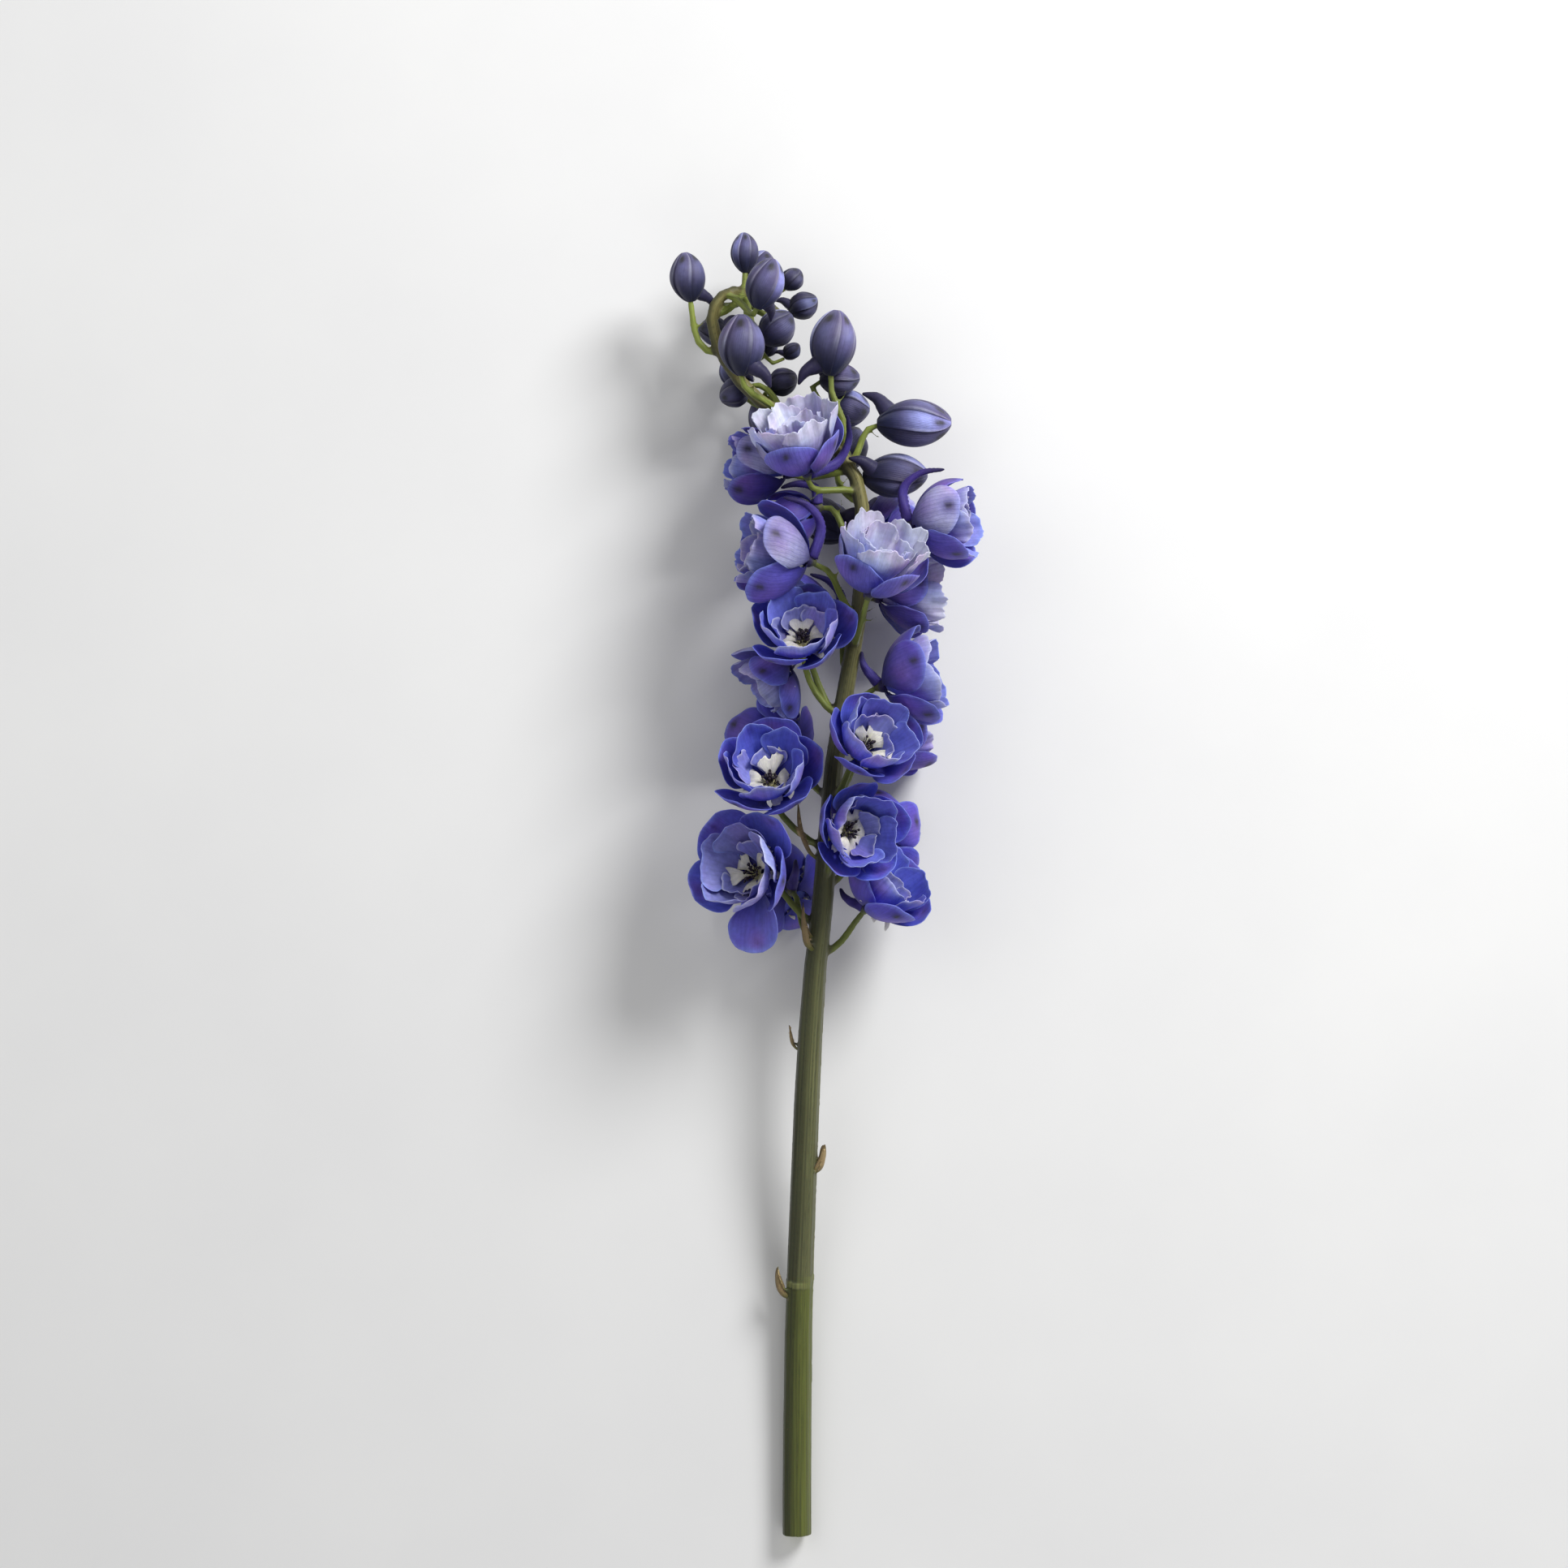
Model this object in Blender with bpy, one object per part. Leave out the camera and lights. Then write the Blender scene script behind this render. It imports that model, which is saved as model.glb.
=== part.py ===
"""Cut delphinium flower spike, laid down on a flat surface.

The spike lies along +Y with its cut end near the surface and +Z up. Every size below is in millimetres.
The finished meshes are scaled to metres at the end, with the origin under the middle of the spike.
"""

import math
import random
from collections import namedtuple

import bmesh
import bpy
import numpy as np
from mathutils import Vector
from mathutils.bvhtree import BVHTree

METRES_PER_MM = 0.001

# Stem
STEM_SIDES = 10
STEM_RINGS = 32
STEM_GROOVE = 0.93
STEM_LINE = [
    # x, y, z of the middle of the stem and its radius
    (-6.0, 0.0, 5.75, 6.7),
    (-6.0, 32.0, 5.68, 6.6),
    (-5.3, 92.0, 8.5, 6.3),
    (-3.5, 145.0, 16.0, 6.0),
    (-1.4, 198.0, 25.0, 5.8),
    (1.4, 244.0, 31.0, 5.2),
    (5.6, 283.0, 35.0, 4.8),
    (9.5, 333.0, 37.0, 4.3),
    (16.0, 376.0, 37.0, 3.9),
    (20.7, 402.0, 37.0, 3.7),
    (22.5, 440.0, 36.5, 3.4),
    (19.0, 462.0, 36.0, 3.3),
    (6.0, 478.0, 35.5, 3.2),
    (-14.0, 489.0, 35.0, 3.1),
    (-28.0, 500.0, 34.5, 3.0),
    (-38.0, 514.0, 34.5, 2.9),
    (-42.5, 528.0, 35.5, 2.8),
    (-40.5, 537.0, 35.5, 2.6),
    (-34.0, 542.0, 33.5, 2.2),
    (-24.0, 541.0, 31.5, 1.8),
    (-12.0, 532.0, 28.5, 1.4),
]

# Bracts on the bare stem: distance from the cut end, angle from the right side, length, half width
BRACTS = [
    (104.0, 150.0, 13.0, 2.0),
    (158.0, 25.0, 12.0, 2.2),
    (163.0, 10.0, 7.0, 1.6),
    (214.0, 200.0, 10.0, 1.6),
    (257.0, 120.0, 19.0, 1.4),
    (262.0, 140.0, 9.0, 1.8),
    (296.0, 165.0, 22.0, 1.3),
]
BRACT_THICKNESS = 0.8

# Petals
BLADE = 0.7
SEAT_GAP = 0.3
CLEARANCE = 0.7
KNOB_BACK = 4.2
KNOB_FRONT = 0.8
KNOB_RADIUS = 2.6
KNOB_RINGS = [(-KNOB_BACK, 1.4), (-0.8, KNOB_RADIUS), (0.0, KNOB_RADIUS), (KNOB_FRONT, KNOB_RADIUS)]
KNOB_SIDES = 10
PETAL_COUNT = 5
SEAT_RADIUS = KNOB_RADIUS * math.cos(math.pi / KNOB_SIDES)

PetalRing = namedtuple(
    "PetalRing",
    "length half_width widest start_angle end_angle root_radius root_height twist wave stations",
)
SEPAL_STATIONS = (0.27, 0.63, 0.965)
INNER_STATIONS = (0.40, 0.90)
OPEN_SEPALS = PetalRing(30.0, 13.0, 0.62, 85.0, 6.0, SEAT_RADIUS, -0.4, 9.5, 0.6, SEPAL_STATIONS)
OPEN_PETALS = PetalRing(28.0, 12.0, 0.72, 66.0, -8.0, SEAT_RADIUS, 0.6, 9.0, 0.6, INNER_STATIONS)
CUP_SEPALS = PetalRing(33.0, 12.4, 0.56, 80.0, -16.0, SEAT_RADIUS, -0.4, 8.5, 0.3, SEPAL_STATIONS)
CUP_PETALS = PetalRing(30.0, 8.4, 0.74, 44.0, 5.0, SEAT_RADIUS, 0.5, 7.0, 0.5, INNER_STATIONS)
FRILLED_SEPALS = PetalRing(26.5, 11.8, 0.58, 82.0, -2.0, SEAT_RADIUS, -0.4, 9.5, 0.3, SEPAL_STATIONS)
FRILLED_PETALS = PetalRing(31.0, 11.4, 0.78, 52.0, 5.0, SEAT_RADIUS, 0.6, 9.0, 0.6, INNER_STATIONS)
# One sepal hangs wide open: its flower, its number from the spur on, and by how many degrees
LOOSE_SEPAL = ("flower_07", 3, 75.0)
CLAW = 0.12
TIGHTEST_CURL = 10.0
# How many degrees the petals of a flower close for a width of 0 instead of 1
CLOSING_ANGLE = 50.0
SPUR_RADII = (2.5, 2.1, 1.5, 0.7)

BEE_BASE = KNOB_FRONT + SEAT_GAP
BEE_RINGS = [(BEE_BASE, 1.5), (BEE_BASE + 2.0, 2.0), (BEE_BASE + 2.8, 2.2)]
BEE_LENGTH = 11.8
BEE_HALF_WIDTH = 3.8
BEE_ANGLE = 38.0
BEE_NOTCH = 2.2

BUD_SIDES = 8
BUD_RINGS = (0.05, 0.24, 0.50, 0.77, 0.95)
BUD_BLUNTNESS = 0.58

# Flower stalks
STALK_RADIUS = 1.5
STALK_SIDES = 5
STALK_RINGS = 6
LONG_STALK = 22.0
ROOT_DROPS = (20.0, 26.0, 14.0, 32.0, 9.0, 38.0, 4.0, 46.0)
ROOT_SWAYS = (0.0, 8.0, -8.0, 15.0, -15.0, 22.0, -22.0)
ROOT_HANDLES = (0.40, 0.22)
BRACTEOLE_LENGTH = 8.0
BRACTEOLE_RADIUS = 0.6
BRACTEOLE_PLACE = 3
BRACTEOLE_BUD = 21.0
SMALL_BUD = 13.0
SMALL_BUD_STALK = 0.75

# Settling of crowded flowers
SETTLE_ROUNDS = 160
SETTLE_STEP = 0.5
FRONT_FREEDOM = Vector((0.3, 0.3, 1.0))
BACK_FREEDOM = Vector((1.0, 0.8, 0.8))

FLAT_ANGLE = 0.002
SHARP_ANGLE = math.radians(50)
SEED = 41

# One row a flower: base of the receptacle, way it faces, size, how far it is open, roll of its spur
Flower = namedtuple("Flower", "name kind base facing size width roll freedom")


def front(name, kind, base, facing, size, width=1.0, roll=0.0):
    """A flower that shows from above: it settles mostly up and down."""
    return Flower(name, kind, Vector(base), Vector(facing).normalized(), size, width, roll, FRONT_FREEDOM)


def back(name, kind, base, facing, size, width=1.0, roll=0.0):
    """A flower on the under side of the spike, free to settle any way."""
    return Flower(name, kind, Vector(base), Vector(facing).normalized(), size, width, roll, BACK_FREEDOM)


FLOWERS = [
    front("flower_01", "open", (-5, 389, 47.5), (-0.05, 0.62, 0.78), 0.93, 1.10),
    front("flower_02", "open", (-9, 380, 31.5), (-0.75, -0.62, 0.10), 0.80, 1.0, 70),
    front("flower_03", "open", (30, 372, 39.5), (0.95, 0.22, 0.15), 1.04, 0.90),
    front("flower_04", "open", (21, 343, 51.5), (0.42, 0.50, 0.76), 0.94),
    front("flower_05", "open", (-17, 328, 47.5), (-0.08, 0.56, 0.83), 1.00, 1.08),
    front("flower_06", "open", (14, 308, 50.5), (0.50, 0.02, 0.87), 0.94),
    front("flower_07", "open", (-22, 290, 45.5), (-0.55, 0.20, 0.81), 1.04, 1.14, 30),
    front("flower_08", "open", (25, 278, 37.5), (0.62, 0.66, 0.42), 0.96),
    back("flower_09", "open", (-9, 283, 20.5), (-0.30, 0.12, -0.95), 0.90),
    back("flower_10", "open", (26, 306, 20.5), (0.35, 0.10, -0.93), 0.86),
    back("flower_11", "open", (-12, 350, 20.5), (-0.30, 0.15, -0.94), 0.86),
    front("half_open_01", "frilled", (-3, 464, 45.5), (-0.22, 0.86, 0.45), 1.04, 1.04, 30),
    front("half_open_02", "cup", (43, 441, 41.5), (0.98, 0.10, 0.20), 0.98),
    front("half_open_03", "frilled", (25, 412, 47.5), (0.26, 0.85, 0.45), 1.06, 1.04, 30),
    front("half_open_04", "frilled", (30, 410, 31.5), (0.97, 0.05, -0.10), 0.98, 0.88),
    front("half_open_05", "cup", (-2, 423, 46.5), (-0.95, 0.20, 0.25), 1.04),
    front("half_open_06", "cup", (-11, 464, 35.5), (-0.95, 0.22, 0.10), 0.92, 0.84),
    front("half_open_07", "cup", (0, 446, 33.5), (-0.90, -0.30, 0.05), 0.70, 0.82),
    back("half_open_08", "cup", (30, 345, 19.5), (0.85, 0.30, -0.45), 0.84, 0.90),
    back("half_open_09", "cup", (6, 400, 20.5), (-0.80, 0.30, -0.45), 0.84, 0.90),
    back("half_open_10", "cup", (30, 432, 21.5), (0.60, 0.45, -0.60), 0.80, 0.86),
    front("bud_01", "bud", (34, 484, 36.5), (1.0, 0.02, 0.10), 33, 0.62),
    front("bud_02", "bud", (29, 460, 35.5), (1.0, 0.05, 0.05), 29, 0.64, -50),
    back("bud_03", "bud", (10, 440, 21.5), (-0.65, 0.45, -0.55), 29, 0.66),
    front("bud_04", "bud", (-51, 541, 35.5), (-0.15, 1.0, 0.10), 22, 0.68, -110),
    front("bud_05", "bud", (-28, 554, 31.5), (-0.05, 1.0, 0.0), 18, 0.66, -100),
    front("bud_06", "bud", (-22, 550, 25.5), (0.35, 0.95, 0.0), 17, 0.86, -120),
    front("bud_07", "bud", (-10, 548, 23.5), (0.60, 0.80, 0.0), 11, 0.88),
    front("bud_08", "bud", (-21, 534, 43.5), (0.30, 0.92, 0.20), 23, 0.70, -140),
    front("bud_09", "bud", (-16, 527, 35.5), (0.65, 0.75, 0.0), 18, 0.86),
    front("bud_10", "bud", (-5, 536, 22.5), (0.85, 0.50, 0.0), 14, 0.85),
    front("bud_11", "bud", (-30, 509, 49.5), (-0.02, 1.0, 0.15), 27, 0.71, -75),
    front("bud_12", "bud", (9, 510, 41.5), (0.12, 1.0, 0.10), 29, 0.68, 80),
    front("bud_13", "bud", (9, 503, 29.5), (1.0, 0.10, 0.0), 18, 0.78),
    front("bud_14", "bud", (13, 493, 23.5), (1.0, -0.05, 0.0), 18, 0.86),
    front("bud_15", "bud", (-40, 525, 27.5), (-1.0, 0.15, 0.0), 14, 0.86),
    front("bud_16", "bud", (-14, 503, 21.5), (0.85, 0.45, 0.0), 14, 0.86),
    front("bud_17", "bud", (-8, 517, 25.5), (0.70, 0.70, 0.0), 9, 0.80),
    front("bud_18", "bud", (-18, 519, 21.5), (0.45, 0.85, 0.0), 9, 0.85),
    front("bud_19", "bud", (-31, 500, 23.5), (-0.80, -0.40, 0.0), 14, 0.90),
    back("bud_20", "bud", (-16, 484, 19.5), (-0.50, 0.70, -0.50), 22, 0.74),
    back("bud_21", "bud", (14, 470, 19.5), (0.35, 0.80, -0.50), 24, 0.74),
    back("bud_22", "bud", (-32, 505, 15.5), (-0.30, 0.90, -0.45), 18, 0.78),
]


def catmull_rom(points, count):
    """count points, evenly spaced in parameter, on a smooth curve through the given points."""
    rows = np.array(points, float)
    first = 2 * rows[0] - rows[1]
    last = 2 * rows[-1] - rows[-2]
    padded = np.vstack([first, rows, last])
    result = []
    for value in np.linspace(0, len(rows) - 1, count):
        span = min(int(value), len(rows) - 2)
        t = value - span
        a, b, c, d = padded[span:span + 4]
        result.append(
            0.5 * (2 * b + (c - a) * t + (2 * a - 5 * b + 4 * c - d) * t * t
                   + (3 * b - a - 3 * c + d) * t ** 3)
        )
    return np.array(result)


def bezier(start, start_handle, end_handle, end, count):
    """count points on a cubic Bezier curve."""
    result = []
    for t in np.linspace(0, 1, count):
        k = 1 - t
        result.append(
            start * k ** 3 + start_handle * 3 * k * k * t + end_handle * 3 * k * t * t + end * t ** 3
        )
    return result


def tube(points, radii, sides, groove=1.0, end_way=None):
    """A closed tube along the points, its end square to end_way.

    With groove under 1 every other side is a shallow furrow.
    """
    verts, faces = [], []
    count = len(points)
    side_way = None
    for i, point in enumerate(points):
        ahead = (points[min(i + 1, count - 1)] - points[max(i - 1, 0)]).normalized()
        if i == count - 1 and end_way:
            ahead = end_way
        if side_way is None:
            side_way = Vector((1, 0, 0)) if abs(ahead.x) < 0.7 else Vector((0, 0, 1))
        side_way = (side_way - ahead * side_way.dot(ahead)).normalized()
        up_way = ahead.cross(side_way)
        for k in range(sides):
            angle = 2 * math.pi * k / sides
            radius = radii[i] * (groove if k % 2 else 1.0)
            verts.append(point + (side_way * math.cos(angle) + up_way * math.sin(angle)) * radius)
    for i in range(count - 1):
        for k in range(sides):
            a = i * sides + k
            b = i * sides + (k + 1) % sides
            faces.append((a, b, b + sides))
            faces.append((a, b + sides, a + sides))
    last = (count - 1) * sides
    for k in range(1, sides - 1):
        faces.append((0, k + 1, k))
        faces.append((last, last + k, last + k + 1))
    return verts, faces, []


def turned(rings, sides, seats):
    """A body turned about the flower's axis, left open at its seats, where blades and horns grow from it.

    rings holds heights and radii. A seat is the number of its band and of its side. Side 0 faces the spur.
    """
    verts, faces = [], []
    for height, radius in rings:
        for k in range(sides):
            angle = math.pi / 2 + (k - 0.5) * 2 * math.pi / sides
            verts.append(Vector((radius * math.cos(angle), radius * math.sin(angle), height)))
    for band in range(len(rings) - 1):
        for side in range(sides):
            if (band, side) not in seats:
                a, b, d, c = seat_corners(band, side, sides)
                faces += [(a, b, c), (a, c, d)]
    last = (len(rings) - 1) * sides
    for k in range(1, sides - 1):
        faces.append((0, k + 1, k))
        faces.append((last, last + k, last + k + 1))
    return verts, faces, []


def seat_corners(band, side, sides):
    """The back left, back right, front left and front right corners of one side of a turned body."""
    left = band * sides + side
    right = band * sides + (side + 1) % sides
    return left, right, left + sides, right + sides


def grow_blade(shape, seat, grid):
    """Grows a thin blade from a seat of the shape, through rows of points on the middle of the blade.

    Both faces of the blade are split into the same triangles.
    """
    verts, faces, pairs = shape
    back_left, back_right, front_left, front_right = seat
    fronts = [[front_left, front_left, front_right]]
    backs = [[back_left, back_left, back_right]]
    root = (verts[back_left] + verts[front_right]) / 2
    for i, row in enumerate(grid):
        fronts.append([])
        backs.append([])
        for j, point in enumerate(row):
            ahead = grid[min(i + 1, len(grid) - 1)][j] - (grid[i - 1][j] if i else root)
            across = row[min(j + 1, len(row) - 1)] - row[max(j - 1, 0)]
            offset = ahead.cross(across).normalized() * BLADE / 2
            fronts[-1].append(len(verts))
            backs[-1].append(len(verts) + 1)
            pairs.append((len(verts), len(verts) + 1))
            verts += [point + offset, point - offset]
    columns = range(len(fronts[0]) - 1)
    for rows in (fronts, backs):
        for low, high in zip(rows, rows[1:]):
            for j in columns:
                faces.append((low[j], low[j + 1], high[j + 1]))
                faces.append((low[j], high[j + 1], high[j]))
    for j in (0, -1):
        for i in range(len(grid)):
            faces.append((fronts[i][j], fronts[i + 1][j], backs[i + 1][j]))
            faces.append((fronts[i][j], backs[i + 1][j], backs[i][j]))
    for j in columns:
        faces.append((fronts[-1][j], fronts[-1][j + 1], backs[-1][j + 1]))
        faces.append((fronts[-1][j], backs[-1][j + 1], backs[-1][j]))
    faces[:] = [face for face in faces if len(set(face)) == 3]


def grow_horn(shape, seat, points, radii):
    """Grows a four-sided horn from a seat of the shape, through points and with a radius at each."""
    verts, faces, _ = shape
    back_left, back_right, front_left, front_right = seat
    aside = (verts[back_right] - verts[back_left]).normalized()
    section = [back_left, back_right, front_right, front_left]
    before = sum((verts[v] for v in section), Vector()) / 4
    for i, point in enumerate(points):
        ahead = (points[min(i + 1, len(points) - 1)] - before).normalized()
        aside = (aside - ahead * aside.dot(ahead)).normalized()
        upward = ahead.cross(aside)
        ring = []
        for a, b in ((-1, -1), (1, -1), (1, 1), (-1, 1)):
            ring.append(len(verts))
            verts.append(point + (aside * a + upward * b) * radii[i] / math.sqrt(2))
        for k in range(4):
            n = (k + 1) % 4
            faces.append((section[k], section[n], ring[n]))
            faces.append((section[k], ring[n], ring[k]))
        section = ring
        before = point
    faces.append((section[0], section[1], section[2]))
    faces.append((section[0], section[2], section[3]))


def outward(shape):
    """The shape with every triangle turned to face out."""
    verts, faces, pairs = shape
    mesh = bpy.data.meshes.new("turning")
    mesh.from_pydata([tuple(v) for v in verts], [], faces)
    work = bmesh.new()
    work.from_mesh(mesh)
    bmesh.ops.recalc_face_normals(work, faces=work.faces)
    turned_faces = [tuple(v.index for v in face.verts) for face in work.faces]
    work.free()
    bpy.data.meshes.remove(mesh)
    return verts, turned_faces, pairs


def outline(s, widest):
    """Share of a petal's half width at s, from its narrow claw at 0 to its round tip at 1."""
    if s < widest:
        return CLAW * (1 - s) ** 3 + math.sin(math.pi / 2 * s / widest) ** 2
    return math.sqrt(1 - ((s - widest) / (1.01 - widest)) ** 2)


def petal_point(ring, azimuth, change, s, u):
    """The point of a petal at s along it and u across it, from -1 to 1, in the flower's own frame.

    change holds the petal's own small differences: length, lean in degrees and the phase of its wave.
    """
    stretch, lean, phase = change
    start = math.radians(ring.start_angle)
    end = math.radians(ring.end_angle + lean)
    length = ring.length * stretch
    angle = start + (end - start) * s
    bend = end - start
    radius = ring.root_radius + length * (math.cos(start) - math.cos(angle)) / bend
    height = ring.root_height + length * (math.sin(angle) - math.sin(start)) / bend
    half = ring.half_width * outline(s, ring.widest)
    curl = max(radius, TIGHTEST_CURL)
    theta = half * u / curl
    sideways = curl * math.sin(theta)
    inward = curl * (1 - math.cos(theta))
    inward += math.tan(math.radians(ring.twist)) * half * u
    inward += ring.wave * s * s * math.sin(2.4 * u + phase)
    radius -= inward * math.cos(angle)
    height += inward * math.sin(angle)
    out = Vector((math.cos(azimuth), math.sin(azimuth), 0))
    aside = Vector((-math.sin(azimuth), math.cos(azimuth), 0))
    return out * radius + aside * sideways + Vector((0, 0, height))


def petal_grid(ring, azimuth, change):
    """Rows of three points from near the petal's root to its tip."""
    grid = []
    for s in ring.stations:
        grid.append([petal_point(ring, azimuth, change, s, u) for u in (-1, 0, 1)])
    return grid


def closing(width):
    """How many degrees a flower is less open than its kind."""
    return (1 - width) * CLOSING_ANGLE


def scaled(ring, size, width):
    """The ring of petals at another size. A narrow flower has its petals closed further at the tip."""
    closed = closing(width)
    return ring._replace(
        length=ring.length * size,
        half_width=ring.half_width * size * width,
        start_angle=ring.start_angle - closed * 0.6,
        end_angle=ring.end_angle - closed,
    )


def petal_changes(flower, count, salt):
    """Small differences between the petals of a flower, the same each time."""
    draw = random.Random(f"{SEED} {flower.name} {salt}")
    changes = []
    for k in range(count):
        stretch = draw.uniform(0.95, 1.05)
        lean = draw.uniform(-3.5, 3.5)
        if (flower.name, salt, k) == (LOOSE_SEPAL[0], "sepals", LOOSE_SEPAL[1]):
            lean += LOOSE_SEPAL[2]
        phase = draw.uniform(0, 2 * math.pi)
        changes.append((stretch, lean, phase))
    return changes


def grow_ring(shape, flower, ring, band, first_side, salt):
    """Grows one ring of petals from every other side of the knob."""
    for k, change in enumerate(petal_changes(flower, PETAL_COUNT, salt)):
        side = first_side + 2 * k
        azimuth = math.pi / 2 + side * 2 * math.pi / KNOB_SIDES
        grow_blade(shape, seat_corners(band, side, KNOB_SIDES), petal_grid(ring, azimuth, change))


def curve_points(points, count):
    """Points along a smooth curve through the given ones, without the first."""
    return [Vector(p) for p in catmull_rom(points, count + 1)[1:]]


def open_spur(size):
    """The spur of an open flower runs back and up from the knob."""
    return [(0, 2, -2.5), (0, 6 * size, -5.0), (0, 11 * size, -7.0), (0, 16 * size, -6.5)]


def cup_spur(size, width):
    """The spur of a half open flower bends forward and lies along the upper sepal."""
    reach = 21.0 * size * width
    return [(0, 2, -2.5), (0, reach * 0.72, -3.6), (1, reach * 1.06, 4 * size), (3, reach * 1.10, 15 * size)]


def petalled_body(flower, sepals, petals, spur):
    """A knob with two rings of petals and a spur, all one body."""
    size, width = flower.size, flower.width
    seats = {(1, side) for side in range(0, KNOB_SIDES, 2)}
    seats |= {(2, side) for side in range(1, KNOB_SIDES, 2)}
    seats.add((0, 0))
    shape = turned(KNOB_RINGS, KNOB_SIDES, seats)
    grow_ring(shape, flower, scaled(sepals, size, width), 1, 0, "sepals")
    grow_ring(shape, flower, scaled(petals, size, width), 2, 1, "petals")
    grow_horn(shape, seat_corners(0, 0, KNOB_SIDES), curve_points(spur, 4), SPUR_RADII)
    return outward(shape)


def bee(size, width):
    """The white notched petals in the throat, on a short foot."""
    sides = PETAL_COUNT
    shape = turned(BEE_RINGS, sides, {(1, side) for side in range(sides)})
    lean = math.radians(BEE_ANGLE - closing(width))
    root_height, root_radius = BEE_RINGS[-1]
    for side in range(sides):
        azimuth = math.pi / 2 + side * 2 * math.pi / sides
        out = Vector((math.cos(azimuth), math.sin(azimuth), 0))
        aside = Vector((-math.sin(azimuth), math.cos(azimuth), 0))
        row = []
        for u in (-1, 0, 1):
            run = BEE_LENGTH * size - BEE_NOTCH * (1 - abs(u))
            spot = out * (root_radius + run * math.sin(lean)) + aside * BEE_HALF_WIDTH * size * width * u
            row.append(spot + Vector((0, 0, root_height + run * math.cos(lean))))
        grow_blade(shape, seat_corners(1, side, sides), [row])
    return outward(shape)


def bud_body(length, width):
    """A closed bud: an egg with its broad end at the stalk and a spur that hooks back beside the stalk."""
    rings = []
    half = 0.5 * length * width
    base = -KNOB_BACK - length * BUD_RINGS[0]
    for t in BUD_RINGS:
        rings.append((base + length * t, half * math.sin(math.pi * t) ** BUD_BLUNTNESS))
    shape = turned(rings, BUD_SIDES, {(0, 0)})
    spur = [
        (0, half * 0.70, base + length * 0.13),
        (0, half * 1.10, base + length * 0.02),
        (0, half * 1.30, base - length * 0.16),
    ]
    grow_horn(shape, seat_corners(0, 0, BUD_SIDES), curve_points(spur, 2), (half * 0.30, half * 0.12))
    return outward(shape)


def flower_body(flower):
    """The body of a bud, a half open flower or an open one, in its own frame."""
    if flower.kind == "bud":
        return bud_body(flower.size, flower.width)
    if flower.kind == "open":
        return petalled_body(flower, OPEN_SEPALS, OPEN_PETALS, open_spur(flower.size))
    spur = cup_spur(flower.size, flower.width)
    if flower.kind == "frilled":
        return petalled_body(flower, FRILLED_SEPALS, FRILLED_PETALS, spur)
    return petalled_body(flower, CUP_SEPALS, CUP_PETALS, spur)


def flower_axes(flower):
    """Sideways, spur side and facing direction of a flower. The spur side is towards the spike's tip."""
    facing = flower.facing
    tipward = Vector((0, 1, 0)) if abs(facing.y) < 0.9 else Vector((0, 0, 1))
    spur_side = (tipward - facing * tipward.dot(facing)).normalized()
    sideways = spur_side.cross(facing)
    roll = math.radians(flower.roll)
    turned_spur = spur_side * math.cos(roll) + sideways * math.sin(roll)
    turned_side = turned_spur.cross(facing)
    return turned_side, turned_spur, facing


def placed(shape, flower, place):
    """The shape in the spike's frame. What would sink into the surface is pressed flat on it."""
    verts, faces, pairs = shape
    sideways, spur_side, facing = flower_axes(flower)
    moved = [place + sideways * v.x + spur_side * v.y + facing * v.z for v in verts]
    for a, b in pairs:
        low, high = (moved[a], moved[b]) if moved[a].z < moved[b].z else (moved[b], moved[a])
        low.z = max(low.z, 0.0)
        high.z = max(high.z, BLADE)
    for v in moved:
        v.z = max(v.z, 0.0)
    return moved, faces, pairs


def joined(parts):
    """All parts as one list of points and one of triangles."""
    verts, faces = [], []
    for part in parts:
        shift = len(verts)
        verts += part[0]
        faces += [tuple(shift + v for v in face) for face in part[1]]
    return verts, faces


def fattened(parts, margin):
    """Each part swollen by the margin, for keeping a gap to its neighbours."""
    result = []
    for verts, faces, pairs in parts:
        push = [Vector() for _ in verts]
        for a, b, c in faces:
            normal = (verts[b] - verts[a]).cross(verts[c] - verts[a])
            if normal.length > 0:
                normal.normalize()
            for v in (a, b, c):
                push[v] += normal
        grown = []
        for v, way in zip(verts, push):
            grown.append(v + way.normalized() * margin if way.length > 0 else v.copy())
        result.append((grown, faces, pairs))
    return result


def search_tree(parts):
    verts, faces = joined(parts)
    return BVHTree.FromPolygons(verts, faces)


def boxes_meet(a, b):
    return all(a[0][k] < b[1][k] and b[0][k] < a[1][k] for k in range(3))


def box_of(parts):
    array = np.array([tuple(v) for part in parts for v in part[0]])
    return array.min(0), array.max(0)


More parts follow.
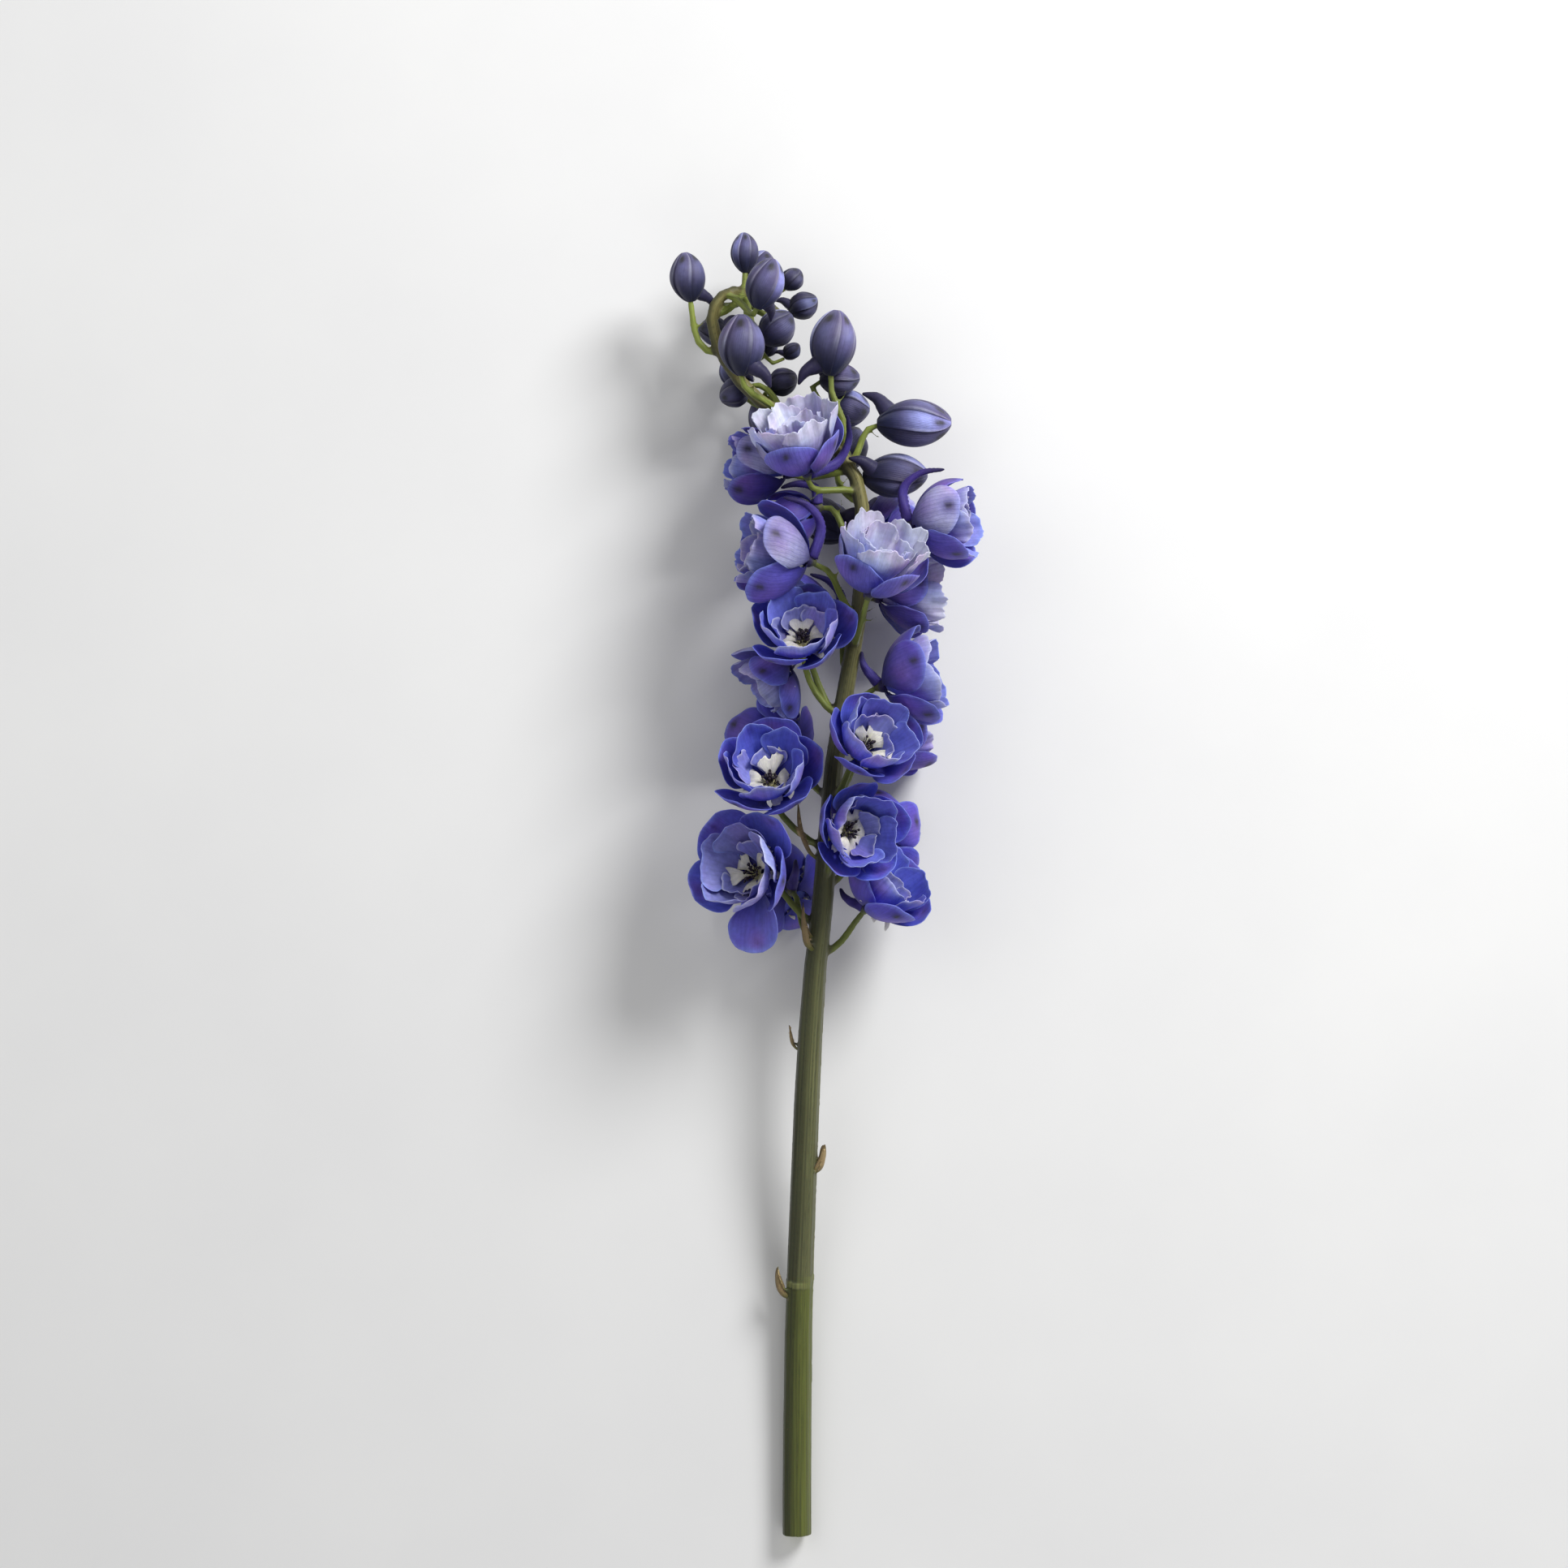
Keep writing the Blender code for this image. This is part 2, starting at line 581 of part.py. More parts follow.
def settle(flowers, shapes):
    """Moves crowded flowers apart, a little at a time, until no two of them cross. Returns their places."""
    places = [flower.base.copy() for flower in flowers]
    stem_tree = search_tree(fattened([stem_tube()], CLEARANCE / 2))
    swollen = [fattened(shape, CLEARANCE / 2) for shape in shapes]
    stem_line = [Vector(row[:3]) for row in catmull_rom(STEM_LINE, 120)]
    for _ in range(SETTLE_ROUNDS):
        moved = [
            [placed(shape, flower, place) for shape in parts]
            for flower, place, parts in zip(flowers, places, swollen)
        ]
        trees = [search_tree(parts) for parts in moved]
        boxes = [box_of(parts) for parts in moved]
        middles = [Vector((box[0] + box[1]) / 2) for box in boxes]
        pushes = [Vector() for _ in flowers]
        for i in range(len(flowers)):
            for j in range(i + 1, len(flowers)):
                if boxes_meet(boxes[i], boxes[j]) and trees[i].overlap(trees[j]):
                    way = (middles[i] - middles[j]).normalized()
                    pushes[i] += way
                    pushes[j] -= way
            if trees[i].overlap(stem_tree):
                nearest = min(stem_line, key=lambda p: (p - middles[i]).length)
                pushes[i] += (middles[i] - nearest).normalized()
        if all(push.length == 0 for push in pushes):
            break
        for i, push in enumerate(pushes):
            if push.length > 0:
                step = push.normalized() * SETTLE_STEP
                places[i] += Vector(a * b for a, b in zip(step, flowers[i].freedom))
                places[i].z = max(places[i].z, KNOB_BACK + 2)
    return places


def stem_tube():
    """The ridged main stem, its lower end pressed flat where it lies on the surface."""
    rows = catmull_rom(STEM_LINE, STEM_RINGS)
    points = [Vector(row[:3]) for row in rows]
    shape = tube(points, [row[3] for row in rows], STEM_SIDES, STEM_GROOVE)
    for v in shape[0]:
        v.z = max(v.z, 0.0)
    return shape


def sliver(points, half_widths, thickness, reference):
    """A thin leaf with a lozenge section, wide across the reference direction."""
    verts, faces = [], []
    count = len(points)
    for i, point in enumerate(points):
        ahead = (points[min(i + 1, count - 1)] - points[max(i - 1, 0)]).normalized()
        across = ahead.cross(reference).normalized()
        through = across.cross(ahead)
        for way, reach in ((across, half_widths[i]), (through, thickness / 2)):
            verts.append(point + way * reach)
        for way, reach in ((across, half_widths[i]), (through, thickness / 2)):
            verts.append(point - way * reach)
    for i in range(count - 1):
        for k in range(4):
            a, b = i * 4 + k, i * 4 + (k + 1) % 4
            faces += [(a, b, b + 4), (a, b + 4, a + 4)]
    last = (count - 1) * 4
    faces += [(0, 2, 1), (0, 3, 2), (last, last + 1, last + 2), (last, last + 2, last + 3)]
    return outward((verts, faces, []))


def bract(y, angle, length, half_width):
    """A small pointed leaf that grows from the stem and leans along it."""
    line = catmull_rom(STEM_LINE, 240)
    row = min(line, key=lambda r: abs(r[1] - y))
    middle, radius = Vector(row[:3]), row[3]
    turn = math.radians(angle)
    out = Vector((math.cos(turn), 0, math.sin(turn)))
    ahead = Vector((0, 1, 0))
    points = [
        middle + out * radius * 0.5,
        middle + out * (radius + 0.14 * length) + ahead * 0.20 * length,
        middle + out * (radius + 0.30 * length) + ahead * 0.60 * length,
        middle + out * (radius + 0.34 * length) + ahead * length,
    ]
    widths = (half_width * 0.8, half_width, half_width * 0.8, 0.35)
    return sliver(points, widths, BRACT_THICKNESS, out)


def bracteole(curve, side):
    """A short thin filament on a flower stalk."""
    root = curve[BRACTEOLE_PLACE]
    ahead = (curve[BRACTEOLE_PLACE + 1] - root).normalized()
    reference = Vector((0, 0, 1)) if abs(ahead.z) < 0.8 else Vector((1, 0, 0))
    aside = ahead.cross(reference).normalized() * side
    tip = root + aside * BRACTEOLE_LENGTH * 0.75 + ahead * BRACTEOLE_LENGTH * 0.6
    middle = (root + tip) / 2 + aside * BRACTEOLE_LENGTH * 0.12
    return tube([root, middle, tip], (BRACTEOLE_RADIUS, BRACTEOLE_RADIUS * 0.9, BRACTEOLE_RADIUS * 0.5), 3)


def stalk_curve(flower, place, drop, sway, handle):
    """The middle line of a flower's stalk, from inside the stem to just behind the flower."""
    facing = flower.facing
    end = place - facing * (KNOB_BACK + SEAT_GAP)
    rows = catmull_rom(STEM_LINE, 240)
    nearest = min(range(1, len(rows)), key=lambda i: (Vector(rows[i][:3]) - end).length)
    root_row, run = nearest, 0.0
    while root_row > 1 and run < drop:
        run += float(np.linalg.norm(rows[root_row][:3] - rows[root_row - 1][:3]))
        root_row -= 1
    root = Vector(rows[root_row][:3])
    ahead = (Vector(rows[root_row + 1][:3]) - root).normalized()
    out = end - root
    out -= ahead * out.dot(ahead)
    out = out.normalized() if out.length > 0.5 else Vector((0, 0, 1))
    aside = ahead.cross(out)
    reach = (end - root).length
    start_handle = root + out * reach * 0.45 + ahead * reach * 0.20 + aside * sway
    end_handle = end - facing * reach * handle + aside * sway * 0.5
    count = STALK_RINGS if reach > LONG_STALK else STALK_RINGS - 1
    return bezier(root, start_handle, end_handle, end, count)


def stalk_radii(radius, count):
    """A stalk is stouter at its root."""
    return [radius * (1.25 - 0.35 * k / (count - 1)) for k in range(count)]


def clear_stalk(flower, place, own, others):
    """The first way from the stem to the flower that crosses no flower, or the one that crosses least."""
    small = flower.kind == "bud" and flower.size < SMALL_BUD
    radius = STALK_RADIUS * (SMALL_BUD_STALK if small else 1.0)
    best, best_curve, fewest = None, None, None
    for handle in ROOT_HANDLES:
        for sway in ROOT_SWAYS:
            for drop in ROOT_DROPS:
                curve = stalk_curve(flower, place, drop, sway, handle)
                shape = tube(curve, stalk_radii(radius, len(curve)), STALK_SIDES, end_way=flower.facing)
                wide_tree = search_tree(fattened([shape], SEAT_GAP))
                crossings = sum(len(wide_tree.overlap(other)) for other in others)
                crossings += len(search_tree([shape]).overlap(own))
                crossings += sum(v.z < 0 for v in shape[0])
                if fewest is None or crossings < fewest:
                    best, best_curve, fewest = shape, curve, crossings
                if fewest == 0:
                    return best, best_curve, 0
    return best, best_curve, fewest


def clear_bracteole(curve, trees):
    """A list of the filament of a stalk, or an empty one where it would reach a flower on either side."""
    for side in (1, -1):
        shape = bracteole(curve, side)
        wide_tree = search_tree(fattened([shape], SEAT_GAP))
        if not any(wide_tree.overlap(tree) for tree in trees) and min(v.z for v in shape[0]) > 0:
            return [shape]
    return []


def mesh_object(name, shape):
    mesh = bpy.data.meshes.new(name)
    mesh.from_pydata([tuple(v) for v in shape[0]], [], shape[1])
    mesh.update()
    body = bpy.data.objects.new(name, mesh)
    bpy.context.scene.collection.objects.link(body)
    return body


def fuse(name, parts):
    """One closed body from parts that cross each other, by a Boolean union on a collection."""
    body = mesh_object(name, parts[0])
    group = bpy.data.collections.new(f"{name} parts")
    others = []
    for k, part in enumerate(parts[1:]):
        other = mesh_object(f"{name} part {k}", part)
        bpy.context.scene.collection.objects.unlink(other)
        group.objects.link(other)
        others.append(other)
    union = body.modifiers.new("Fused", "BOOLEAN")
    union.operation = "UNION"
    union.solver = "EXACT"
    union.operand_type = "COLLECTION"
    union.collection = group
    bpy.context.view_layer.update()
    depsgraph = bpy.context.evaluated_depsgraph_get()
    fused = bpy.data.meshes.new_from_object(body.evaluated_get(depsgraph))
    body.modifiers.clear()
    old = body.data
    body.data = fused
    bpy.data.meshes.remove(old)
    for other in others:
        mesh = other.data
        bpy.data.objects.remove(other)
        bpy.data.meshes.remove(mesh)
    bpy.data.collections.remove(group)
    work = bmesh.new()
    work.from_mesh(fused)
    bmesh.ops.dissolve_limit(work, angle_limit=FLAT_ANGLE, verts=work.verts, edges=work.edges)
    work.to_mesh(fused)
    work.free()
    return body


def material(name, colour, roughness):
    """A plain surface colour with a given roughness."""
    found = bpy.data.materials.get(name)
    if found:
        return found
    made = bpy.data.materials.new(name)
    made.use_nodes = True
    shader = made.node_tree.nodes["Principled BSDF"]
    shader.inputs["Base Color"].default_value = (*colour, 1)
    shader.inputs["Roughness"].default_value = roughness
    shader.inputs["Metallic"].default_value = 0
    return made


def petal_material(name):
    kind = name.rsplit("_", 1)[0]
    colours = {
        "flower": (0.055, 0.09, 0.60),
        "half_open": (0.22, 0.20, 0.55),
        "bud": (0.10, 0.09, 0.25),
        "bee": (0.72, 0.70, 0.60),
    }
    return material(f"{kind} petal", colours[kind], 0.55)


def clear_scene():
    for item in list(bpy.data.objects):
        bpy.data.objects.remove(item)


def finish(bodies):
    """Scales the bodies to metres, shades them and sets the origin under the middle of the whole spike."""
    low, high = box_of([([v.co for v in body.data.vertices],) for body in bodies])
    middle = Vector(((low[0] + high[0]) / 2, (low[1] + high[1]) / 2, 0))
    for body in bodies:
        mesh = body.data
        for v in mesh.vertices:
            v.co = (v.co - middle) * METRES_PER_MM
        mesh.update()
        mesh.shade_smooth()
        mesh.set_sharp_from_angle(angle=SHARP_ANGLE)


def flower_shapes(flower):
    """The bodies of a flower in its own frame: itself, and the bee of an open one."""
    shapes = [flower_body(flower)]
    if flower.kind == "open":
        shapes.append(bee(flower.size, flower.width))
    return shapes


def build():
    clear_scene()
    shapes = [flower_shapes(flower) for flower in FLOWERS]
    places = settle(FLOWERS, shapes)
    here = [
        [placed(shape, flower, place) for shape in parts]
        for flower, place, parts in zip(FLOWERS, places, shapes)
    ]
    trees = [search_tree(parts) for parts in here]
    stem_parts = [stem_tube()] + [bract(*row) for row in BRACTS]
    for k, flower in enumerate(FLOWERS):
        others = trees[:k] + trees[k + 1:]
        shape, curve, _ = clear_stalk(flower, places[k], trees[k], others)
        stem_parts.append(shape)
        if flower.kind in ("cup", "frilled") or flower.size > BRACTEOLE_BUD:
            stem_parts += clear_bracteole(curve, trees)
    stem = fuse("stem", stem_parts)
    stem.data.materials.append(material("stem green", (0.09, 0.12, 0.03), 0.6))
    bodies = [stem]
    for flower, parts in zip(FLOWERS, here):
        names = (flower.name, flower.name.replace("flower", "bee"))
        for name, shape in zip(names, parts):
            body = mesh_object(name, shape)
            body.data.materials.append(petal_material(name))
            bodies.append(body)
    finish(bodies)


if __name__ == "__main__":
    build()
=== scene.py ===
"""Looks of a cut delphinium spike that lies on a pale surface, seen from straight above.

Lengths are in millimetres until a mesh is made, and then in metres. Named angles are in degrees.
A petal is made on a grid: s runs from 0 at its root to 1 at its tip, and u from -1 to 1 across it.
"""

import math
import random
from collections import namedtuple

import bmesh
import bpy
import numpy as np
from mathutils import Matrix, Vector


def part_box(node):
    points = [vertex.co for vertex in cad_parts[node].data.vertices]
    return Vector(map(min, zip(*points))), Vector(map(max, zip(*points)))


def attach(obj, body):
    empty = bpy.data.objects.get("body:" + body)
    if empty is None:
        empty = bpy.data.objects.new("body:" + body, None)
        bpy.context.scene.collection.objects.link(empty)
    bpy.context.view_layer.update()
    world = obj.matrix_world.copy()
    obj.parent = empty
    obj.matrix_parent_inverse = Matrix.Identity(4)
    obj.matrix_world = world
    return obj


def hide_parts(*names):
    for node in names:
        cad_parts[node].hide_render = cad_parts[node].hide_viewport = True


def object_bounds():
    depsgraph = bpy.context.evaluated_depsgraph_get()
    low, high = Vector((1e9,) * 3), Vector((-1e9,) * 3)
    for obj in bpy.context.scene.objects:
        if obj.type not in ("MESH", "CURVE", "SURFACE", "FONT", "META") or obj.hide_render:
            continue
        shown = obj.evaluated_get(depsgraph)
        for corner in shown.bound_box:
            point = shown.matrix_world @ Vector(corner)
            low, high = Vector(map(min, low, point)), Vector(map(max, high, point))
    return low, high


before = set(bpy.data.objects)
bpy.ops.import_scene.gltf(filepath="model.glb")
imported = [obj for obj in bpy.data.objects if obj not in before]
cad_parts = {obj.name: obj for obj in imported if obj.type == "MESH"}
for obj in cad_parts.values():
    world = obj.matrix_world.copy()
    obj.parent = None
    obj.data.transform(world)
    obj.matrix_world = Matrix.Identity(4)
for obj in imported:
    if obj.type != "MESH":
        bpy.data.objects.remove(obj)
cad_bounds = [list(corner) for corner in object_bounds()]

MM = 0.001
SEED = 41

# What would sink into the surface lies on it instead, at a few heights
REST_HEIGHT = 0.10
REST_UNEVENNESS = 0.12
REST_STEPS = 7

# A tube's end points stand out by these shares of its radius
BLUNT_END = 0.3
ROUND_END = 0.6

# Camera: the picture covers the same width as the photograph, from straight above
PICTURE_WIDTH = 676.0
LENS = 90.0
SENSOR = 36.0
AIM_FROM_MIDDLE = Vector((-17.5, 46.0, 35.0))


def srgb(red, green, blue):
    """A display colour as linear values."""
    values = np.array([red, green, blue]) / 255
    return ((values + 0.055) / 1.055) ** 2.4


# Petal colours
BLUE = srgb(66, 84, 206)
PALE_BLUE = srgb(136, 158, 240)
VIOLET = srgb(80, 66, 168)
LAVENDER = srgb(142, 138, 196)
BLUSH = srgb(150, 112, 196)
GREY_LILAC = srgb(146, 148, 204)
LILAC_WHITE = srgb(206, 209, 230)
SPOT_GREEN = srgb(46, 44, 32)
SPUR_DARK = srgb(46, 38, 84)
CREAM = srgb(226, 223, 208)
THROAT_YELLOW = srgb(196, 190, 132)
STAMEN_DARK = srgb(30, 18, 28)

# Bud colours
BUD_SLATE = srgb(102, 98, 140)
# Blue painted highlight for the middle of each bud sepal and for the brightest sepals
BUD_PAINTED_HIGHLIGHT = srgb(150, 158, 222)
BUD_DARK = srgb(27, 26, 44)
BUD_GREEN = srgb(62, 64, 50)

# Stem colours
STEM_LOW = srgb(86, 93, 34)
STEM_MIDDLE = srgb(88, 90, 55)
STEM_HIGH = srgb(122, 116, 66)
# Painted shade for the stem's left side and for the grooves between its ridges
STEM_PAINTED_SHADE = srgb(36, 40, 22)
STALK_GREEN = srgb(124, 136, 58)
PITH = srgb(210, 210, 166)
DRY = srgb(176, 154, 110)
DRY_DARK = srgb(96, 78, 46)
COLLAR_GREEN = srgb(122, 126, 76)

# Linear colours that the materials lay over the tints
PETAL_VEIN = (0.030, 0.020, 0.22, 1.0)
BUD_VEIN = (0.024, 0.020, 0.075, 1.0)
BEE_VEIN = (0.46, 0.43, 0.31, 1.0)
WITHERED_BROWN = (0.10, 0.075, 0.035, 1.0)
PINK_FILTER = (1.05, 0.66, 0.90, 1.0)
FLOOR_TONES = ((0.78, 0.78, 0.78, 1.0), (0.82, 0.82, 0.815, 1.0))

# Petal materials: colour and share of the veins, roughness, translucency and share of blush
PETAL_LOOKS = {
    "petal": (PETAL_VEIN, 0.32, 0.52, 0.18, 0.55),
    "bud": (BUD_VEIN, 0.55, 0.50, 0.06, 0.35),
    "bee": (BEE_VEIN, 0.26, 0.55, 0.20, 0.15),
    "bract": (WITHERED_BROWN, 0.45, 0.62, 0.04, 0.15),
}

# Forms that follow the solids. A profile has heights and radii.
KNOB_BACK = 4.2
KNOB_FRONT = 0.8
KNOB_RADIUS = 2.6
KNOB_SIDES = 10
KNOB_PROFILE = (
    (-KNOB_BACK - 0.2, 1.35),
    (-3.2, 1.7),
    (-1.8, 2.5),
    (-0.4, 2.8),
    (0.6, 2.6),
    (KNOB_FRONT + 0.3, 1.4),
)
PETAL_COUNT = 5
SEAT_RADIUS = KNOB_RADIUS * math.cos(math.pi / KNOB_SIDES)
CLAW = 0.12
TIP_END = 1.01
TIGHTEST_CURL = 10.0
WAVE_TURN = 2.4
PETAL_LENGTHS = (0.95, 1.05)
PETAL_LEANS = (-3.5, 3.5)
SPUR_RADII = (2.5, 2.1, 1.5, 0.7)
SPUR_TIP = (0.85, 0.55)
SPUR_RINGS = 40
SPUR_SIDES = 14
SPUR_WRINKLE = 0.15
BEE_BASE = 1.1
BEE_ROOT_RADIUS = 2.2
BEE_ROOT_HEIGHT = 3.9
BEE_LENGTH = 12.6
BEE_HALF_WIDTH = 4.2
BEE_LEAN = 38.0
BEE_FOOT = ((BEE_BASE, 1.5), (2.2, 1.8), (3.4, 2.0), (3.9, 1.5))
BEE_SIDES = 15
BUD_RINGS = (0.05, 0.24, 0.50, 0.77, 0.95)
BUD_BLUNTNESS = 0.58

PetalRing = namedtuple(
    "PetalRing",
    "length half_width widest start_angle end_angle root_radius root_height twist wave stations",
)
SEPAL_STATIONS = (0.27, 0.63, 0.965)
INNER_STATIONS = (0.40, 0.90)
OPEN_SEPALS = PetalRing(30.0, 13.0, 0.62, 85.0, 6.0, SEAT_RADIUS, -0.4, 9.5, 0.6, SEPAL_STATIONS)
OPEN_PETALS = PetalRing(28.0, 12.0, 0.72, 66.0, -8.0, SEAT_RADIUS, 0.6, 9.0, 0.6, INNER_STATIONS)
CUP_SEPALS = PetalRing(33.0, 12.4, 0.56, 80.0, -16.0, SEAT_RADIUS, -0.4, 8.5, 0.3, SEPAL_STATIONS)
CUP_PETALS = PetalRing(30.0, 8.4, 0.74, 44.0, 5.0, SEAT_RADIUS, 0.5, 7.0, 0.5, INNER_STATIONS)
FRILLED_SEPALS = PetalRing(26.5, 11.8, 0.58, 82.0, -2.0, SEAT_RADIUS, -0.4, 9.5, 0.3, SEPAL_STATIONS)
FRILLED_PETALS = PetalRing(31.0, 11.4, 0.78, 52.0, 5.0, SEAT_RADIUS, 0.6, 9.0, 0.6, INNER_STATIONS)

# The sepal that hangs loose: its flower, its number and how many degrees further it is bent
LOOSE_SEPAL = ("flower_07", 3, 75.0)

# How far a narrow flower is closed: degrees at the tips for a width of 0, and the part of that at the roots
CLOSING_ANGLE = 50.0
CLOSING_AT_ROOT = 0.6

# A third ring of petals, inside the two that the solids have
OPEN_THIRD = PetalRing(20.0, 8.2, 0.74, 60.0, 4.0, 2.4, 0.7, 9.0, 0.5, INNER_STATIONS)
CUP_THIRD = PetalRing(27.0, 7.4, 0.74, 30.0, 6.0, 1.4, 0.6, 9.0, 0.5, INNER_STATIONS)
FRILLED_THIRD = PetalRing(28.5, 9.4, 0.76, 40.0, 4.0, 1.6, 0.8, 9.0, 0.6, INNER_STATIONS)
THIRD_SIDE = 0.45
THIRD_LENGTHS = (0.78, 1.04)
THIRD_LEANS = (-16.0, 10.0)
THIRD_SCATTER = 0.28

# How finely a petal is made, and how its rim waves and frays
PetalStyle = namedtuple("PetalStyle", "rows columns ruffle waves frill teeth thickness lines")
SEPAL_STYLE = PetalStyle(18, 19, 0.75, 1.4, 0.022, 2.3, 0.40, 0.75)
PETAL_STYLE = PetalStyle(18, 25, 1.15, 1.9, 0.050, 3.4, 0.34, 0.35)
FRILLED_STYLE = PetalStyle(19, 33, 1.35, 2.2, 0.110, 3.4, 0.30, 0.30)
THIRD_STYLE = PetalStyle(16, 21, 1.10, 2.1, 0.060, 3.0, 0.30, 0.30)

# The grid of a petal fans out to its round tip. Its waves and teeth follow a coordinate across the grid.
PETAL_ROOT = 0.03
ROW_CROWDING = 1.35
TIP_FLATNESS = 2.3
TIP_BREADTH = 0.45
RIM_SPAN_ROOT = 3.7
RIM_SPAN_LOSS = 1.5
TOOTH_SHARES = (0.65, 0.35)
TOOTH_SHARPNESS = 0.7
FINE_TEETH = 1.45
SIDE_FRAY = 0.6
FINE_RUFFLE = 0.4
FINE_WAVES = 2.7
RIM_ROLLS = (-1.1, 0.5)
RIM_THINNING = 0.5
OPEN_SEPAL_LINES = 0.55

# The spot near a sepal's tip and its halo: place and half length along it, half width in millimetres
SPOT = (0.85, 0.060, 1.7)
HALO = (0.84, 0.15, 4.8)

# The painted shade at a petal's root, as what it takes off red, green and blue, the half width and half
# length of a patch of blush, and the brightness of whole petals
ROOT_PAINTED_SHADE = np.array([0.86, 0.88, 0.66])
PATCH_SIZE = (0.55, 0.22)
PETAL_TONES = (0.84, 1.10)

# The small white petals of a bee: how finely they are made and between what limits they differ
BEE_ROWS = 15
BEE_COLUMNS = 17
BEE_THICKNESS = 0.34
BEE_SHARES = (1.12, 0.74, 1.02, 0.82, 1.08)
BEE_SCATTER = 0.22
BEE_LEANS = (-12, 9)
BEE_BENDS = (6, 52)
BEE_TWISTS = (-38, 38)
BEE_FOLDS = (-0.5, 0.3)
BEE_NOTCHES = (0.14, 0.38)
BEE_WIDTHS = (0.85, 1.25)
BEE_TONES = (0.82, 1.04)

# Stamens stand on the foot of a bee. Each is a bent filament with an anther across its end.
STAMEN_COUNT = 22
STAMEN_FOOT = BEE_BASE + 1.5
STAMEN_FEET = (0.0, 1.4)
STAMEN_SPREADS = (0.2, 3.4)
STAMEN_RISES = (3.6, 6.6)
FILAMENT_RADII = (0.30, 0.26, 0.22, 0.20, 0.18)
ANTHER_STEPS = (-0.5, -0.2, 0.3, 0.7, 0.95)
ANTHER_RADII = (0.30, 0.58, 0.66, 0.50, 0.22)

# The sepals folded round a bud: points across each, how wide and how bright the five are, and their form
FOLD_PLACES = np.array([0.0, 0.06, 0.18, 0.34, 0.5, 0.66, 0.82, 0.94, 0.995])
FOLD_SPANS = (1.30, 0.75, 1.10, 0.80, 1.05)
FOLD_TONES = (0.66, 0.90, 1.35, 1.05, 0.80)
FOLD_TWISTS = (0.35, 0.85)
FOLD_STEP = 0.060
FOLD_BULGE = 0.045
BUD_ROWS = 30
BUD_ENDS = (0.015, 0.975)
BUD_WRINKLE = 0.05
BUD_SPUR_RINGS = 12
BUD_SPUR_RADII = ((0, 0.35, 0.75, 1), (0.50, 0.36, 0.22, 0.06))
WEAK_LINES = 0.30
BASE_SHADE = np.array([0.88, 0.83, 0.76])

# violet and pale are shares from 0 to 1. white names the sepals, counted from the spur, that are pale too.
Flower = namedtuple("Flower", "name kind facing size width roll violet pale third white")
FLOWERS = [
    Flower("flower_01", "open", (-0.05, 0.62, 0.78), 0.93, 1.10, 0, 0.25, 0.22, True, ()),
    Flower("flower_02", "open", (-0.75, -0.62, 0.10), 0.80, 1.0, 70, 0.15, 0.70, False, (1, 2, 3)),
    Flower("flower_03", "open", (0.95, 0.22, 0.15), 1.04, 0.90, 0, 0.60, 0.45, False, ()),
    Flower("flower_04", "open", (0.42, 0.50, 0.76), 0.94, 1.0, 0, 0.25, 0.20, True, ()),
    Flower("flower_05", "open", (-0.08, 0.56, 0.83), 1.00, 1.08, 0, 0.50, 0.08, True, ()),
    Flower("flower_06", "open", (0.50, 0.02, 0.87), 0.94, 1.0, 0, 0.15, 0.18, True, ()),
    Flower("flower_07", "open", (-0.55, 0.20, 0.81), 1.04, 1.14, 30, 0.12, 0.55, True, ()),
    Flower("flower_08", "open", (0.62, 0.66, 0.42), 0.96, 1.0, 0, 0.45, 0.08, True, ()),
    Flower("flower_09", "open", (-0.30, 0.12, -0.95), 0.90, 1.0, 0, 0.20, 0.12, False, ()),
    Flower("flower_10", "open", (0.35, 0.10, -0.93), 0.86, 1.0, 0, 0.35, 0.05, False, ()),
    Flower("flower_11", "open", (-0.30, 0.15, -0.94), 0.86, 1.0, 0, 0.40, 0.08, False, ()),
    Flower("half_open_01", "frilled", (-0.22, 0.86, 0.45), 1.04, 1.04, 30, 0.60, 0.85, True, (0, 1, 2)),
    Flower("half_open_02", "cup", (0.98, 0.10, 0.20), 0.98, 1.0, 0, 0.75, 0.45, True, (1,)),
    Flower("half_open_03", "frilled", (0.26, 0.85, 0.45), 1.06, 1.04, 30, 0.50, 0.80, True, (0, 1)),
    Flower("half_open_04", "frilled", (0.97, 0.05, -0.10), 0.98, 0.88, 0, 0.75, 0.70, True, ()),
    Flower("half_open_05", "cup", (-0.95, 0.20, 0.25), 1.04, 1.0, 0, 0.65, 0.35, True, (4,)),
    Flower("half_open_06", "cup", (-0.95, 0.22, 0.10), 0.92, 0.84, 0, 0.85, 0.25, False, (4,)),
    Flower("half_open_07", "cup", (-0.90, -0.30, 0.05), 0.70, 0.82, 0, 0.90, 0.05, False, ()),
    Flower("half_open_08", "cup", (0.85, 0.30, -0.45), 0.84, 0.90, 0, 0.60, 0.30, False, ()),
    Flower("half_open_09", "cup", (-0.80, 0.30, -0.45), 0.84, 0.90, 0, 0.60, 0.30, False, ()),
    Flower("half_open_10", "cup", (0.60, 0.45, -0.60), 0.80, 0.86, 0, 0.70, 0.30, False, ()),
]

